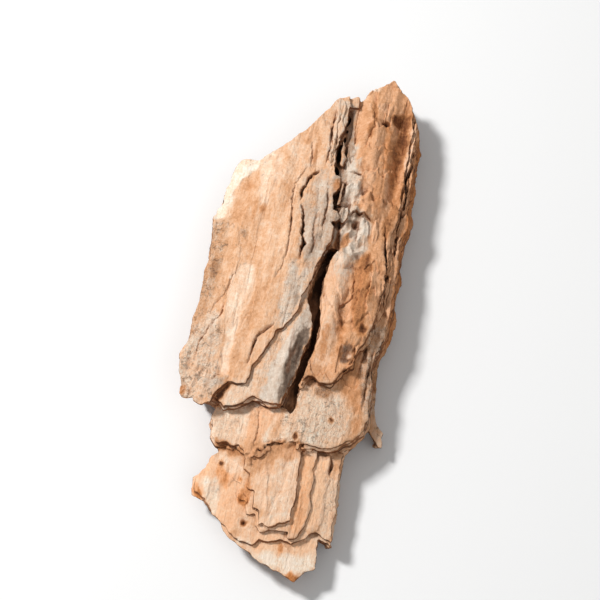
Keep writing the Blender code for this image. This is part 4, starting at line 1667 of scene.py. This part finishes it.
@dataclass
class Floor:
    """A plain pale floor.

    Attributes:
        size: the length of its side.
        colour: its paint.
        roughness: how matt the paint is.
        sink: how far it lies below the bark.
    """

    size: float = 3.0
    colour: Colour = (0.93, 0.93, 0.925)
    roughness: float = 0.7
    sink: float = 0.0001

    def build(self) -> bpy.types.Object:
        """Lay the floor just under the bark.

        Returns:
            The floor as an object.
        """
        bpy.ops.object.select_all(action="DESELECT")
        bpy.ops.mesh.primitive_plane_add(size=self.size, location=(0, 0, -self.sink))
        floor = bpy.context.object
        floor.name = "floor"
        bpy.ops.object.transform_apply(location=True)
        material = bpy.data.materials.new("floor_paint")
        board = Board(material)
        board.shader.inputs["Base Color"].default_value = (*self.colour, 1.0)
        board.shader.inputs["Roughness"].default_value = self.roughness
        floor.data.materials.append(material)
        return floor


@dataclass(frozen=True)
class SoftLight:
    """A square soft box that looks at the bark.

    Attributes:
        name: what the light does.
        azimuth: where it stands round the bark, in degrees from -Y towards +X.
        elevation: how high it stands, in degrees.
        distance: how far away it stands.
        size: the length of its side.
        power: its watts.
    """

    name: str
    azimuth: float
    elevation: float
    distance: float
    size: float
    power: float

    def build(self, target: Vector) -> bpy.types.Object:
        """Hang the light and turn it to the target.

        Args:
            target: the point it looks at.

        Returns:
            The light as an object.
        """
        lamp = bpy.data.lights.new(self.name, "AREA")
        lamp.size = self.size
        lamp.energy = self.power
        light = bpy.data.objects.new(self.name, lamp)
        bpy.context.scene.collection.objects.link(light)
        aim(light, target, self.azimuth, self.elevation, self.distance)
        return light


def aim(thing: bpy.types.Object, target: Vector, azimuth: float, elevation: float,
        distance: float) -> None:
    """Stand a light or camera round a target and turn it to look there.

    Args:
        thing: the light or camera.
        target: the point it looks at.
        azimuth: degrees from -Y towards +X.
        elevation: degrees above the floor.
        distance: metres from the target.
    """
    turn, tilt = math.radians(azimuth), math.radians(elevation)
    away = Vector((math.sin(turn) * math.cos(tilt), -math.cos(turn) * math.cos(tilt), math.sin(tilt)))
    thing.location = target + away * distance
    thing.rotation_euler = (-away).to_track_quat("-Z", "Y").to_euler()


@dataclass(frozen=True)
class Studio:
    """The camera, the lights and the air of the studio.

    Attributes:
        azimuth: where the camera stands round the bark, in degrees from -Y towards +X.
        elevation: how high it stands, in degrees.
        lens: its focal length in millimetres.
        distance: how far away it stands.
        lights: the soft boxes.
        sky: the colour of the light from all round.
        sky_strength: how strong that light is.
    """

    azimuth: float = 10.4
    elevation: float = 60.0
    lens: float = 85.0
    distance: float = 0.3
    lights: tuple[SoftLight, ...] = (
        SoftLight("key", -110, 46, 0.7, 0.12, 4.8),
        SoftLight("fill", 46, 46, 0.9, 0.7, 1.25),
    )
    sky: Colour = (1.0, 1.0, 1.0)
    sky_strength: float = 0.28

    def build(self, box: tuple[Vector, Vector]) -> None:
        """Set up everything round the object.

        Args:
            box: the object's lowest and highest corner.
        """
        middle = (box[0] + box[1]) / 2
        camera = bpy.data.objects.new("camera", bpy.data.cameras.new("camera"))
        bpy.context.scene.collection.objects.link(camera)
        camera.data.lens = self.lens
        aim(camera, middle, self.azimuth, self.elevation, self.distance)
        bpy.context.scene.camera = camera
        for light in self.lights:
            light.build(middle)
        world = bpy.data.worlds.new("air")
        world.use_nodes = True
        background = world.node_tree.nodes["Background"]
        background.inputs["Color"].default_value = (*self.sky, 1.0)
        background.inputs["Strength"].default_value = self.sky_strength
        bpy.context.scene.world = world
        bpy.context.scene.view_settings.view_transform = "Standard"


def main() -> None:
    """Build the bark and the studio in order."""
    logging.basicConfig(level=logging.INFO, format="%(name)s: %(message)s")
    bark = Bark(box=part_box("bark"))
    piece = bark.build()
    bark.dress(BarkFinish())
    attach(piece, "root")
    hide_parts("bark")
    LOG.info("%s: %d vertices", piece.name, len(piece.data.vertices))
    Floor().build()
    Studio().build(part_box("bark"))


if __name__ == "__main__":
    main()
